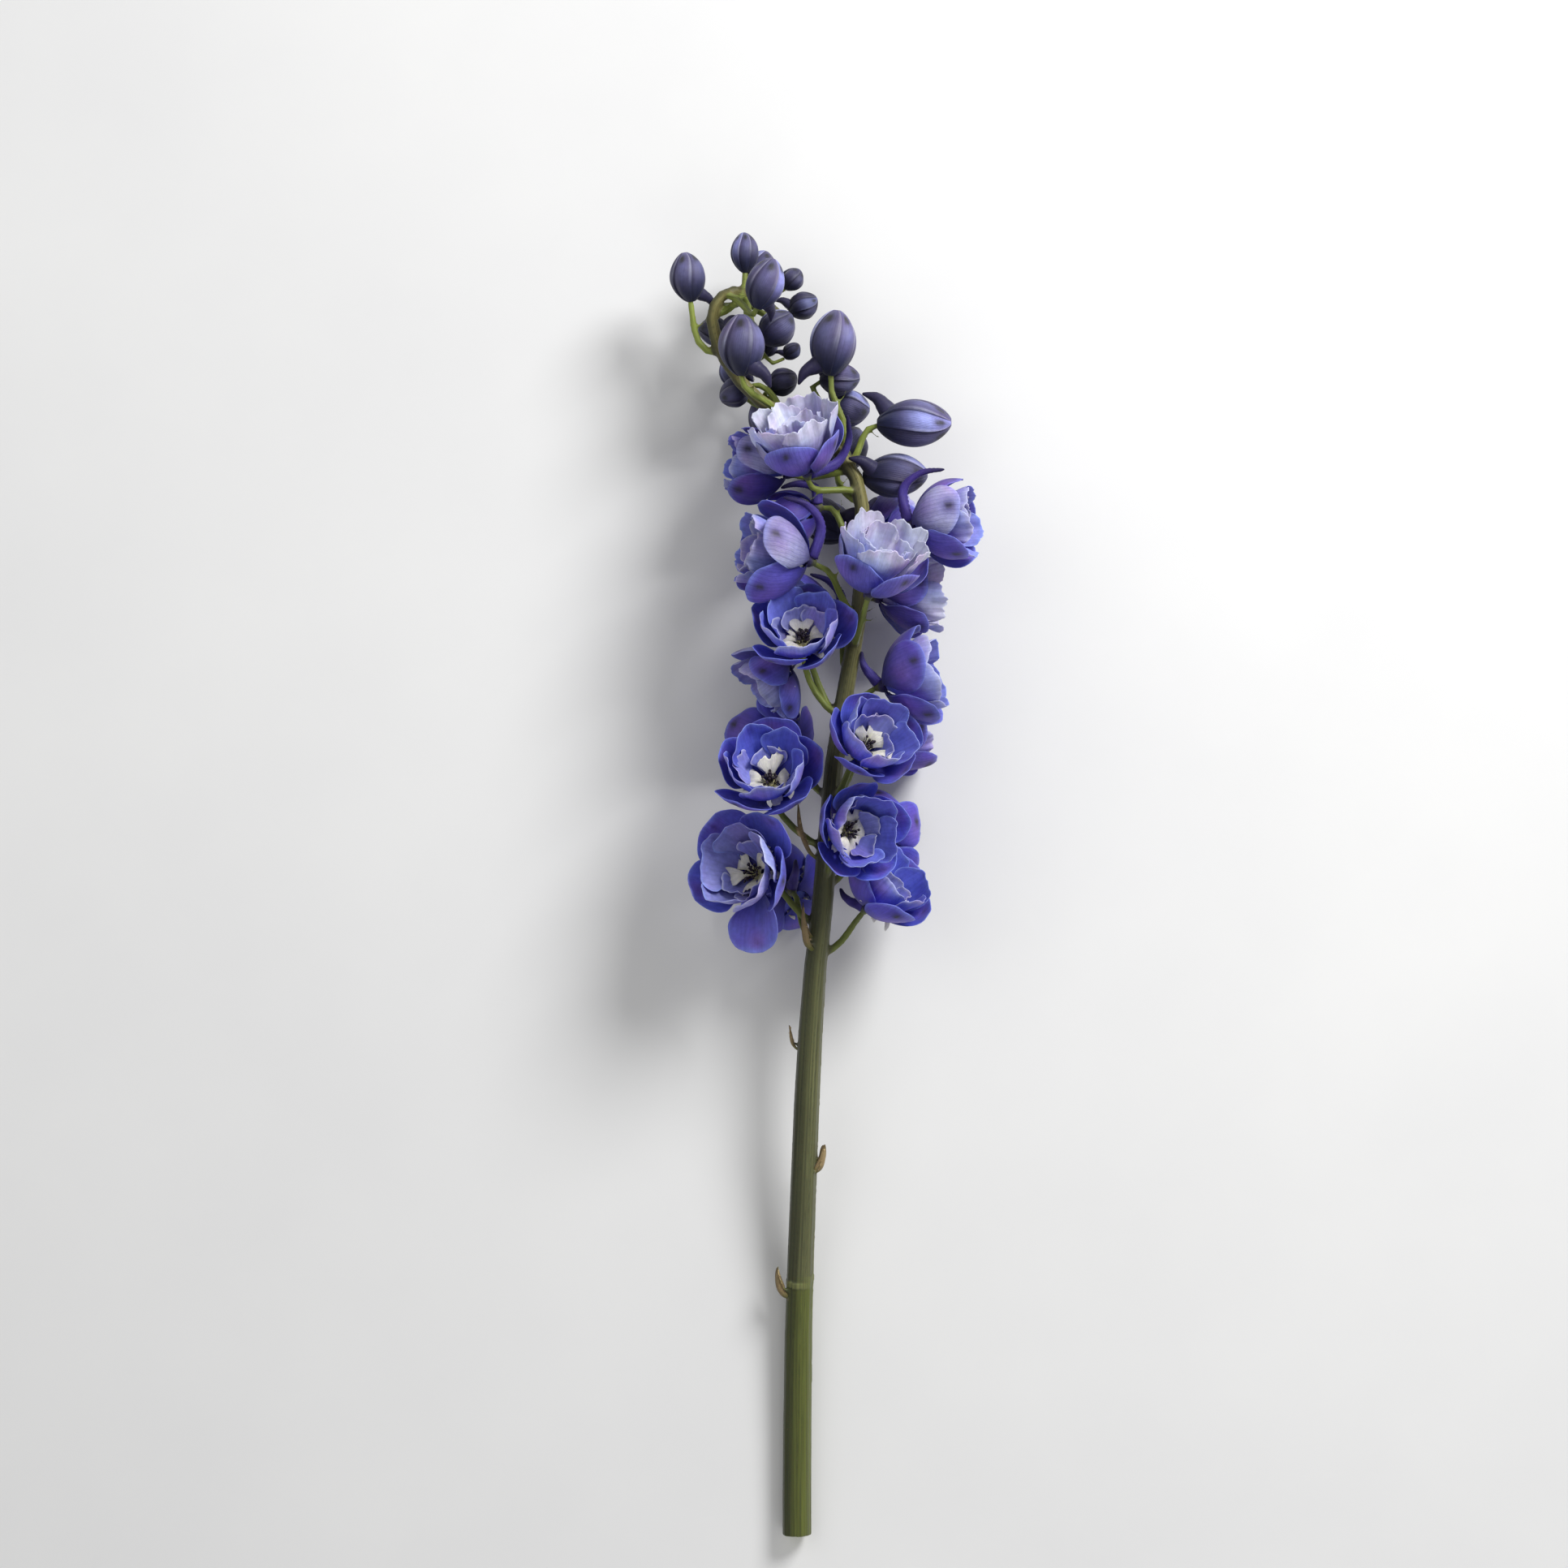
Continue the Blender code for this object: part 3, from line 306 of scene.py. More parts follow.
# Buds: the way they face, length, width as a share of it, the roll of the spur and how dark they are
Bud = namedtuple("Bud", "name facing length width roll dark")
BUDS = [
    Bud("bud_01", (1.0, 0.02, 0.10), 33, 0.62, 0, 0.0),
    Bud("bud_02", (1.0, 0.05, 0.05), 29, 0.64, -50, 0.25),
    Bud("bud_03", (-0.65, 0.45, -0.55), 29, 0.66, 0, 0.4),
    Bud("bud_04", (-0.15, 1.0, 0.10), 22, 0.68, -110, 0.25),
    Bud("bud_05", (-0.05, 1.0, 0.0), 18, 0.66, -100, 0.5),
    Bud("bud_06", (0.35, 0.95, 0.0), 17, 0.86, -120, 0.45),
    Bud("bud_07", (0.60, 0.80, 0.0), 11, 0.88, 0, 0.9),
    Bud("bud_08", (0.30, 0.92, 0.20), 23, 0.70, -140, 0.3),
    Bud("bud_09", (0.65, 0.75, 0.0), 18, 0.86, 0, 0.4),
    Bud("bud_10", (0.85, 0.50, 0.0), 14, 0.85, 0, 0.9),
    Bud("bud_11", (-0.02, 1.0, 0.15), 27, 0.71, -75, 0.1),
    Bud("bud_12", (0.12, 1.0, 0.10), 29, 0.68, 80, 0.05),
    Bud("bud_13", (1.0, 0.10, 0.0), 18, 0.78, 0, 0.35),
    Bud("bud_14", (1.0, -0.05, 0.0), 18, 0.86, 0, 0.4),
    Bud("bud_15", (-1.0, 0.15, 0.0), 14, 0.86, 0, 0.8),
    Bud("bud_16", (0.85, 0.45, 0.0), 14, 0.86, 0, 0.8),
    Bud("bud_17", (0.70, 0.70, 0.0), 9, 0.80, 0, 0.95),
    Bud("bud_18", (0.45, 0.85, 0.0), 9, 0.85, 0, 0.95),
    Bud("bud_19", (-0.80, -0.40, 0.0), 14, 0.90, 0, 0.8),
    Bud("bud_20", (-0.50, 0.70, -0.50), 22, 0.74, 0, 0.5),
    Bud("bud_21", (0.35, 0.80, -0.50), 24, 0.74, 0, 0.5),
    Bud("bud_22", (-0.30, 0.90, -0.45), 18, 0.78, 0, 0.5),
]

# Buds that show strong vein lines
STRIPED_BUDS = ("bud_01", "bud_02", "bud_03", "bud_09", "bud_13", "bud_14", "bud_21")

# Dry bracts on the bare stem: distance from the cut end, angle round the stem, length and half width
BRACTS = [
    (104.0, 150.0, 13.0, 2.0),
    (158.0, 25.0, 12.0, 2.2),
    (163.0, 10.0, 7.0, 1.6),
    (214.0, 200.0, 10.0, 1.6),
    (257.0, 120.0, 19.0, 1.4),
    (262.0, 140.0, 9.0, 1.8),
    (296.0, 165.0, 22.0, 1.3),
]
BRACT_RUNS = (0.0, 0.20, 0.60, 1.0)
BRACT_REACHES = ((0.5, 0.0), (1.0, 0.14), (1.0, 0.30), (1.0, 0.34))
BRACT_ROWS = 19
BRACT_COLUMNS = 9
BRACT_THICKNESS = 0.42
BRACT_TWISTS = (35.0, 75.0)
BRACT_CURLS = (0.35, 0.75)
BRACT_TONES = (0.80, 1.05)
BRACT_SINKING = 0.40

# Middle line of the main stem from its cut end: across, along, up and radius
STEM_LINE = [
    (-6.0, 0.0, 5.75, 6.7),
    (-6.0, 32.0, 5.68, 6.6),
    (-5.3, 92.0, 8.5, 6.3),
    (-3.5, 145.0, 16.0, 6.0),
    (-1.4, 198.0, 25.0, 5.8),
    (1.4, 244.0, 31.0, 5.2),
    (5.6, 283.0, 35.0, 4.8),
    (9.5, 333.0, 37.0, 4.3),
    (16.0, 376.0, 37.0, 3.9),
    (20.7, 402.0, 37.0, 3.7),
    (22.5, 440.0, 36.5, 3.4),
    (19.0, 462.0, 36.0, 3.3),
    (6.0, 478.0, 35.5, 3.2),
    (-14.0, 489.0, 35.0, 3.1),
    (-28.0, 500.0, 34.5, 3.0),
    (-38.0, 514.0, 34.5, 2.9),
    (-42.5, 528.0, 35.5, 2.8),
    (-40.5, 537.0, 35.5, 2.6),
    (-34.0, 542.0, 33.5, 2.2),
    (-24.0, 541.0, 31.5, 1.8),
    (-12.0, 532.0, 28.5, 1.4),
]
CUT_END_X = -6.0

# The thin parts of the stem are swelled before its surface is made anew on a fine grid, and shrunk after it
STEM_STEPS = 400
STEM_VOXEL = 0.66
THIN_SWELL = 0.28
THIN_SHRINK = 0.6 * THIN_SWELL
SMOOTH_ROUNDS = 4
RIDGE_COUNT = 24
RIDGE_DEPTH = 0.13
PITH_HOLLOW = 1.1
POINTS_AT_ONCE = 20000

# The scar of a leaf, a low collar round the bare stem
COLLAR_PLACE = 112.0
COLLAR_SLANT = 1.4
COLLAR_WIDTH = 1.3
COLLAR_HEIGHT = 0.45
COLLAR_FADE = (COLLAR_PLACE - 4, COLLAR_PLACE + 6)

# Studio: lights with their places in metres, their sizes and their power
LIGHTS = [
    ("key", (0.85, 1.05, 0.95), 0.7, 28.0),
    ("fill", (-0.9, 0.5, 1.2), 1.2, 4.0),
    ("low_fill", (0.3, -1.1, 1.0), 1.2, 4.0),
]
WORLD_STRENGTH = 0.28
FLOOR_HALF = 4.0


def smooth(value, low, high):
    """0 below low, 1 above high and an even rise between."""
    t = np.clip((value - low) / (high - low), 0, 1)
    return t * t * (3 - 2 * t)


def mixed(first, second, share):
    """Colours between two, by a share for each point or one for all."""
    share = np.asarray(share, float)[..., None]
    return first * (1 - share) + second * share


def layered(colours, *layers):
    """Colours with others laid over them, each by its share."""
    for other, share in layers:
        colours = mixed(colours, other, share)
    return colours


def unit(rows):
    """Each row at a length of 1."""
    return rows / np.linalg.norm(rows, axis=-1, keepdims=True)


def turned(azimuth, radius, sideways, height):
    """Points at a distance from a flower's axis and sideways from their azimuth."""
    x = radius * math.cos(azimuth) - sideways * math.sin(azimuth)
    y = radius * math.sin(azimuth) + sideways * math.cos(azimuth)
    return np.stack([x, y, height], -1)


def catmull_rom(points, count):
    """count points, evenly spaced in parameter, on a smooth curve through the given points."""
    rows = np.array(points, float)
    first = 2 * rows[0] - rows[1]
    last = 2 * rows[-1] - rows[-2]
    padded = np.vstack([first, rows, last])
    result = []
    for value in np.linspace(0, len(rows) - 1, count):
        span = min(int(value), len(rows) - 2)
        t = value - span
        a, b, c, d = padded[span:span + 4]
        result.append(
            0.5 * (2 * b + (c - a) * t + (2 * a - 5 * b + 4 * c - d) * t * t
                   + (3 * b - a - 3 * c + d) * t ** 3)
        )
    return np.array(result)


def new_object(name, data):
    """An object in the scene."""
    made = bpy.data.objects.new(name, data)
    bpy.context.scene.collection.objects.link(made)
    return made


def set_attribute(mesh, name, kind, values):
    """Gives each point of a mesh its own value, which the materials read."""
    fields = {"FLOAT_COLOR": "color", "FLOAT_VECTOR": "vector", "FLOAT": "value"}
    layer = mesh.attributes.new(name, kind, "POINT")
    layer.data.foreach_set(fields[kind], np.asarray(values, np.float32).ravel())


def set_looks(mesh, tints, veins):
    """Stores the tint of each point and its place among the veins."""
    set_attribute(mesh, "tint", "FLOAT_COLOR", np.hstack([tints, np.ones((len(tints), 1))]))
    set_attribute(mesh, "vein", "FLOAT_VECTOR", veins)


class Shape:
    """Points and faces of a piece. Each point has a tint, a place among veins and a share of vein lines."""

    def __init__(self):
        self.points = []
        self.faces = []
        self.tints = []
        self.veins = []
        self.lines = []
        self.slots = []
        self.count = 0

    def add(self, points, faces, tints, veins, slot=0, lines=1.0):
        """tints, veins and lines hold for each point or for all."""
        points = np.asarray(points, float).reshape(-1, 3)
        self.points.append(points)
        self.tints.append(np.broadcast_to(tints, (len(points), 3)))
        self.veins.append(np.broadcast_to(veins, (len(points), 3)))
        self.lines.append(np.broadcast_to(lines, len(points)))
        for face in faces:
            self.faces.append(tuple(int(v) + self.count for v in face))
        self.slots += [slot] * len(faces)
        self.count += len(points)

    def add_tube(self, curve, radii, sides, tints, across=None, slot=0, wrinkle=0.0, phase=0.0):
        """A closed tube along a curve. tints gives colours for points from how far along it they are."""
        points, along = swept(curve, radii, sides, wrinkle, phase)
        across = along if across is None else np.broadcast_to(across, along.shape)
        veins = np.stack([across, along, along], -1)
        self.add(points, ring_faces(len(curve), sides), tints(along), veins, slot)

    def add_sheet(self, middle, thickness, front, back, u, s, mark, lines=1.0):
        """A thin sheet round a grid of middle points. mark tells its veins from those of other sheets."""
        vein = np.stack([u, s, np.full_like(s, mark)], -1).reshape(-1, 3)
        tints = np.concatenate([front.reshape(-1, 3), back.reshape(-1, 3)])
        veins = np.concatenate([vein, vein])
        self.add(sheet(middle, thickness), sheet_faces(*s.shape), tints, veins, 0, lines)

    def moved(self, place, axes):
        """The points in the spike's frame. What would sink into the surface lies on it."""
        points = np.vstack(self.points) @ axes + place
        uneven = REST_UNEVENNESS * (np.arange(len(points)) % REST_STEPS) / REST_STEPS
        points[:, 2] = np.maximum(points[:, 2], REST_HEIGHT + uneven)
        return points

    def piece(self, name, points, materials):
        """An object of the shape, in metres, with its colours and veins as attributes."""
        mesh = bpy.data.meshes.new(name)
        mesh.from_pydata((points * MM).tolist(), [], self.faces)
        mesh.update()
        set_looks(mesh, np.vstack(self.tints), np.vstack(self.veins))
        set_attribute(mesh, "lines", "FLOAT", np.concatenate(self.lines))
        mesh.polygons.foreach_set("material_index", self.slots)
        mesh.shade_smooth()
        for material in materials:
            mesh.materials.append(material)
        return new_object(name, mesh)


def sheet_faces(rows, columns):
    """Faces of a thin closed sheet: the points of its front, row by row, and then those of its back."""
    front = np.arange(rows * columns).reshape(rows, columns)
    shift = rows * columns
    a, b = front[:-1, :-1], front[:-1, 1:]
    d, c = front[1:, :-1], front[1:, 1:]
    fronts = np.stack([a, d, c, b], -1).reshape(-1, 4)
    backs = np.stack([a, b, c, d], -1).reshape(-1, 4) + shift
    rim = np.concatenate([front[0, :], front[1:, -1], front[-1, -2::-1], front[-2:0:-1, 0]])
    after = np.roll(rim, -1)
    rims = np.stack([rim, after, after + shift, rim + shift], -1)
    return np.vstack([fronts, backs, rims]).tolist()


def sheet(middle, thickness):
    """Front and back points of a thin sheet round a grid of middle points. thickness is a grid too."""
    ahead = np.gradient(middle, axis=0)
    across = np.gradient(middle, axis=1)
    normal = np.cross(ahead, across)
    normal /= np.maximum(np.linalg.norm(normal, axis=-1, keepdims=True), 1e-9)
    offset = normal * thickness[..., None] / 2
    return np.concatenate([(middle + offset).reshape(-1, 3), (middle - offset).reshape(-1, 3)])


def ring_faces(rings, sides):
    """Faces of a closed tube: rings of points first, then the two points at its ends."""
    faces = []
    for i in range(rings - 1):
        for k in range(sides):
            a = i * sides + k
            b = i * sides + (k + 1) % sides
            faces.append((a, b, b + sides, a + sides))
    start, end = rings * sides, rings * sides + 1
    last = (rings - 1) * sides
    for k in range(sides):
        n = (k + 1) % sides
        faces.append((start, n, k))
        faces.append((end, last + k, last + n))
    return faces


def swept(points, radii, sides, wrinkle, phase):
    """Points of a tube along a curve, rings first and then its end points, and how far along each is."""
    points = np.asarray(points, float)
    count = len(points)
    ways = unit(np.gradient(points, axis=0))
    side = np.array([1.0, 0, 0]) if abs(ways[0][0]) < 0.7 else np.array([0, 0, 1.0])
    angles = 2 * math.pi * np.arange(sides) / sides
    result, along = [], []
    for i in range(count):
        side = side - ways[i] * side.dot(ways[i])
        side /= np.linalg.norm(side)
        up = np.cross(ways[i], side)
        ripple = 1 + wrinkle * np.sin(3 * angles + phase + 1.7 * i) * math.sin(1.3 * i + phase)
        reach = (radii[i] * ripple)[:, None]
        result.append(points[i] + (np.cos(angles)[:, None] * side + np.sin(angles)[:, None] * up) * reach)
        along += [i / (count - 1)] * sides
    result.append(points[0] - ways[0] * radii[0] * BLUNT_END)
    result.append(points[-1] + ways[-1] * radii[-1] * ROUND_END)
    return np.vstack(result), np.array(along + [0, 1])


def outline(s, widest):
    """Share of a petal's half width, from its narrow claw over its widest place to its round tip."""
    claw = CLAW * (1 - s) ** 3 + np.sin(math.pi / 2 * s / widest) ** 2
    tip = np.sqrt(np.maximum(0, 1 - ((s - widest) / (TIP_END - widest)) ** 2))
    return np.where(s < widest, claw, tip)


def petal_points(ring, azimuth, change, s, u, half=None, ruffle=0.0):
    """Middle points of a petal at s along it and u across it. half is its half width there."""
    stretch, lean, phase = change
    half = ring.half_width * outline(s, ring.widest) if half is None else half
    start = math.radians(ring.start_angle)
    end = math.radians(ring.end_angle + lean)
    length = ring.length * stretch
    bend = end - start
    angle = start + bend * s
    radius = ring.root_radius + length * (math.cos(start) - np.cos(angle)) / bend
    height = ring.root_height + length * (np.sin(angle) - math.sin(start)) / bend
    curl = np.maximum(radius, TIGHTEST_CURL)
    theta = half * u / curl
    sideways = curl * np.sin(theta)
    inward = curl * (1 - np.cos(theta))
    inward = inward + math.tan(math.radians(ring.twist)) * half * u
    inward = inward + ring.wave * s * s * np.sin(WAVE_TURN * u + phase)
    inward = inward + ruffle
    radius = radius - inward * np.cos(angle)
    height = height + inward * np.sin(angle)
    return turned(azimuth, radius, sideways, height)


def closing(width):
    """How many degrees a flower is less open than its kind."""
    return (1 - width) * CLOSING_ANGLE


def scaled(ring, size, width):
    """The ring of petals at another size. A narrow flower has its petals closed further at the tip."""
    closed = closing(width)
    return ring._replace(
        length=ring.length * size,
        half_width=ring.half_width * size * width,
        start_angle=ring.start_angle - closed * CLOSING_AT_ROOT,
        end_angle=ring.end_angle - closed,
    )


def petal_changes(flower, layer):
    """Small differences between the petals of a flower, the same each time."""
    draw = random.Random(f"{SEED} {flower.name} {layer}")
    changes = []
    for k in range(PETAL_COUNT):
        stretch = draw.uniform(*PETAL_LENGTHS)
        lean = draw.uniform(*PETAL_LEANS)
        if (flower.name, layer, k) == (LOOSE_SEPAL[0], "sepals", LOOSE_SEPAL[1]):
            lean += LOOSE_SEPAL[2]
        if layer == "third":
            stretch = draw.uniform(*THIRD_LENGTHS)
            lean = draw.uniform(*THIRD_LEANS)
        phase = draw.uniform(0, 2 * math.pi)
        changes.append((stretch, lean, phase))
    return changes


def flower_axes(facing, roll):
    """Sideways, spur side and facing direction of a flower, as rows. The spur side is towards the tip."""
    facing = Vector(facing).normalized()
    tipward = Vector((0, 1, 0)) if abs(facing.y) < 0.9 else Vector((0, 0, 1))
    spur_side = (tipward - facing * tipward.dot(facing)).normalized()
    sideways = spur_side.cross(facing)
    turn = math.radians(roll)
    turned_spur = spur_side * math.cos(turn) + sideways * math.sin(turn)
    turned_side = turned_spur.cross(facing)
    return np.array([tuple(turned_side), tuple(turned_spur), tuple(facing)])


def place_in(node, coarse, axes):
    """Where a shape stands so that its coarse points fill the box of the node that it stands for."""
    low, high = (np.array(corner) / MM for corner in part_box(node))
    outer = coarse @ axes
    place = (low + high) / 2 - (outer.min(0) + outer.max(0)) / 2
    place[2] = high[2] - outer[:, 2].max()
    return place


def ring_azimuths(first_side):
    """The azimuths of five petals that grow from every other side of the knob."""
    return [math.pi / 2 + (first_side + 2 * k) * 2 * math.pi / KNOB_SIDES for k in range(PETAL_COUNT)]


def open_spur(size):
    """The spur of an open flower runs back and up from the knob."""
    return [(0, 2, -2.5), (0, 6 * size, -5.0), (0, 11 * size, -7.0), (0, 16 * size, -6.5)]


def cup_spur(size, width):
    """The spur of a half open flower bends forward and lies along the upper sepal."""
    reach = 21.0 * size * width
    return [(0, 2, -2.5), (0, reach * 0.72, -3.6), (1, reach * 1.06, 4 * size), (3, reach * 1.10, 15 * size)]


def flower_rings(flower):
    """The layers of petals of a flower as (ring, first side, layer, style), from the outside in."""
    kinds = {
        "open": (OPEN_SEPALS, OPEN_PETALS, OPEN_THIRD),
        "cup": (CUP_SEPALS, CUP_PETALS, CUP_THIRD),
        "frilled": (FRILLED_SEPALS, FRILLED_PETALS, FRILLED_THIRD),
    }
    sepals, petals, third = (scaled(ring, flower.size, flower.width) for ring in kinds[flower.kind])
    inner_style = FRILLED_STYLE if flower.kind == "frilled" else PETAL_STYLE
    rings = [(sepals, 0, "sepals", SEPAL_STYLE), (petals, 1, "petals", inner_style)]
    if flower.third:
        third_style = FRILLED_STYLE if flower.kind == "frilled" else THIRD_STYLE
        rings.append((third, THIRD_SIDE, "third", third_style))
    return rings


def flower_spur(flower):
    """The curve of a flower's spur, from the knob to its tip."""
    return open_spur(flower.size) if flower.kind == "open" else cup_spur(flower.size, flower.width)


def coarse_flower(flower):
    """The outermost points of a flower's solid, in its own frame."""
    points = []
    for ring, first_side, layer, _ in flower_rings(flower)[:2]:
        for azimuth, change in zip(ring_azimuths(first_side), petal_changes(flower, layer)):
            s, u = np.meshgrid(ring.stations, (-1.0, 0.0, 1.0), indexing="ij")
            points.append(petal_points(ring, azimuth, change, s, u).reshape(-1, 3))
    points.append(catmull_rom(flower_spur(flower), 5)[1:])
    return np.vstack(points)


def petal_tints(flower, layer, k, s, u, half, rim, draw):
    """Colours of the front and of the back of petal k of a ring, with painted shade at the root and a painted
    highlight along the rim.
    """
    hue = min(1.0, max(0.0, flower.violet + draw.uniform(-0.15, 0.15)))
    white = layer == "sepals" and k in flower.white
    pale = flower.pale
    side, place = draw.uniform(-0.7, 0.7), draw.uniform(0.45, 0.85)
    root = 1 - smooth(s, 0.08, 0.72)
    spot, halo = (
        np.exp(-((s - middle) / length) ** 2 - (half * u / width) ** 2)
        for middle, length, width in (SPOT, HALO)
    )
    # Painted shade that darkens each petal towards its root, deep in the flower
    shade = 1 - (root ** 1.2)[..., None] * ROOT_PAINTED_SHADE
    patch = np.exp(-((u - side) / PATCH_SIZE[0]) ** 2 - ((s - place) / PATCH_SIZE[1]) ** 2)
    # In every ring below, rim mixes in a painted highlight along the sides and the tip of the petal
    if layer == "sepals":
        front = layered(BLUE, (VIOLET, hue), (LILAC_WHITE, 0.33 if white else pale * 0.22)) * shade
        front = layered(front, (BLUSH, halo * 0.45), (PALE_BLUE, rim * 0.45), (SPOT_GREEN, spot * 0.45))
        back = layered(
            BLUE,
            (VIOLET, min(1.0, 0.40 + 0.7 * hue)),
            (LILAC_WHITE, 0.60 if white else pale * 0.12),
            (BLUSH, patch * 0.42),
            (VIOLET * 0.8, halo * 0.60),
            (PALE_BLUE, rim * 0.40),
        )
        back = mixed(back * shade, SPOT_GREEN, np.clip(spot * 1.5, 0, 0.96))
    elif flower.kind == "frilled":
        white_front = 0.35 + 0.65 * smooth(s, 0.3, 0.8)
        white_back = 0.30 + 0.60 * smooth(s, 0.35, 0.9)
        front = layered(LAVENDER, (LILAC_WHITE, white_front), (PALE_BLUE, patch * 0.35))
        back = layered(LAVENDER, (PALE_BLUE, 0.5), (LILAC_WHITE, white_back), (PALE_BLUE, patch * 0.55))
    elif layer == "petals":
        front = layered(BLUE, (LAVENDER, 0.08 + pale * 0.6), (LILAC_WHITE, pale * 0.45)) * shade
        front = mixed(front, PALE_BLUE, rim * 0.60)
        back = layered(
            BLUE,
            (VIOLET, hue * 0.6),
            (PALE_BLUE, 0.22 + 0.3 * smooth(s, 0.4, 0.9)),
            (BLUSH, patch * 0.58),
            (LILAC_WHITE, pale * 0.75 * smooth(s, 0.2, 0.8)),
            (LILAC_WHITE, rim * 0.45),
        )
    else:
        front = mixed(GREY_LILAC, BLUE, 0.25 + draw.uniform(-0.15, 0.35)) * (0.45 + 0.55 * shade)
        front = mixed(front, LILAC_WHITE, rim * 0.60 + pale * 0.25)
        back = mixed(GREY_LILAC, PALE_BLUE, 0.3 + draw.uniform(-0.2, 0.3))
        back = mixed(back, LILAC_WHITE, rim * 0.65 + pale * 0.25)
    tone = draw.uniform(*PETAL_TONES)
    return front * tone, back * tone


def add_petal(shape, flower, ring, k, azimuth, change, layer, style, draw):
    """Petal k of a ring, fine, with a rim that waves and frays. Its columns fan out to its round tip."""
    first, second = draw.uniform(0, 2 * math.pi), draw.uniform(0, 2 * math.pi)
    roll = draw.uniform(*RIM_ROLLS)
    rise = 1 - (1 - np.linspace(0.0, 1.0, style.rows)) ** ROW_CROWDING
    turns = np.sin(np.linspace(-1, 1, style.columns) * math.pi / 2)
    row, u = np.meshgrid(PETAL_ROOT + (1 - PETAL_ROOT) * rise, turns, indexing="ij")
    place = u * (RIM_SPAN_ROOT - RIM_SPAN_LOSS * row)
    coarse = np.abs(np.sin(style.teeth * place / 2 + second)) ** TOOTH_SHARPNESS
    fine = np.abs(np.sin(style.teeth * FINE_TEETH * place + first)) ** TOOTH_SHARPNESS
    teeth = 1 - TOOTH_SHARES[0] * coarse - TOOTH_SHARES[1] * fine
    cut = style.frill * teeth * smooth(row, 0.5, 1.0)
    round_tip = np.maximum(0, 1 - np.abs(u) ** TIP_FLATNESS) ** TIP_BREADTH
    tip = ring.widest + (TIP_END - ring.widest) * round_tip
    s = row * tip * (1 - cut)
    half = ring.half_width * np.where(s < ring.widest, outline(s, ring.widest), 1.0)
    half = half * (1 - SIDE_FRAY * style.frill * teeth * u ** 4)
    edge = 1 - (1 - np.abs(u) ** 3 * smooth(row, 0.25, 0.8)) * (1 - smooth(row, 0.62, 1.0))
    ruffle = np.sin(style.waves * place + first)
    ruffle = ruffle + FINE_RUFFLE * np.sin(FINE_WAVES * style.waves * place + second)
    ruffle = (ruffle * edge + roll * edge ** 2) * style.ruffle * flower.size
    middle = petal_points(ring, azimuth, change, s, u, half, ruffle)
    # rim: the sides and the tip of a petal, which petal_tints lightens as a painted highlight
    rim = np.maximum(smooth(np.abs(u), 0.90, 1.0) * smooth(row, 0.2, 0.5), smooth(row, 0.90, 1.0))
    front, back = petal_tints(flower, layer, k, s, u, half, rim, draw)
    lines = np.repeat([style.lines * 0.5, style.lines], s.size)
    if layer == "sepals" and flower.kind == "open":
        lines = lines * OPEN_SEPAL_LINES
    thickness = style.thickness * (1 - RIM_THINNING * edge)
    shape.add_sheet(middle, thickness, front, back, u, s, draw.random(), lines)


def knob_tints(along):
    return mixed(STALK_GREEN * 0.7, SPUR_DARK, smooth(along, 0.1, 0.5))


def add_knob(shape):
    """The small receptacle that the petals and the spur grow from."""
    heights, radii = zip(*KNOB_PROFILE)
    shape.add_tube([(0, 0, height) for height in heights], radii, 2 * KNOB_SIDES, knob_tints, wrinkle=0.03)


def spur_tints(along):
    return layered(SPUR_DARK, (VIOLET, 0.45), (SPUR_DARK * 0.5, smooth(along, 0.5, 1.0)))


def add_spur(shape, flower, draw):
    """The wrinkled spur."""
    curve = catmull_rom(flower_spur(flower), SPUR_RINGS)
    radii = np.interp(np.linspace(0, 3, SPUR_RINGS), range(4), SPUR_RADII)
    radii[-2:] *= SPUR_TIP
    across = np.tile(np.linspace(-1, 1, SPUR_SIDES), SPUR_RINGS + 1)[:SPUR_RINGS * SPUR_SIDES + 2]
    shape.add_tube(curve, radii, SPUR_SIDES, spur_tints, across, 0, SPUR_WRINKLE, draw.uniform(0, 6))


def flower_piece(flower, materials):
    """The petals, spur and receptacle of a flower."""
    shape = Shape()
    draw = random.Random(f"{SEED} {flower.name} looks")
    add_knob(shape)
    add_spur(shape, flower, draw)
    for ring, first_side, layer, style in flower_rings(flower):
        changes = petal_changes(flower, layer)
        azimuths = ring_azimuths(first_side)
        if layer == "third" and flower.kind == "open":
            gone = draw.randrange(PETAL_COUNT)
            azimuths = azimuths[:gone] + azimuths[gone + 1:]
            azimuths = [azimuth + draw.uniform(-THIRD_SCATTER, THIRD_SCATTER) for azimuth in azimuths]
        for k, azimuth in enumerate(azimuths):
            add_petal(shape, flower, ring, k, azimuth, changes[k], layer, style, draw)
    axes = flower_axes(flower.facing, flower.roll)
    place = place_in(flower.name, coarse_flower(flower), axes)
    piece = shape.piece(f"petals_{flower.name}", shape.moved(place, axes), [materials["petal"]])
    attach(piece, "root")
    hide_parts(flower.name)
    return place, axes


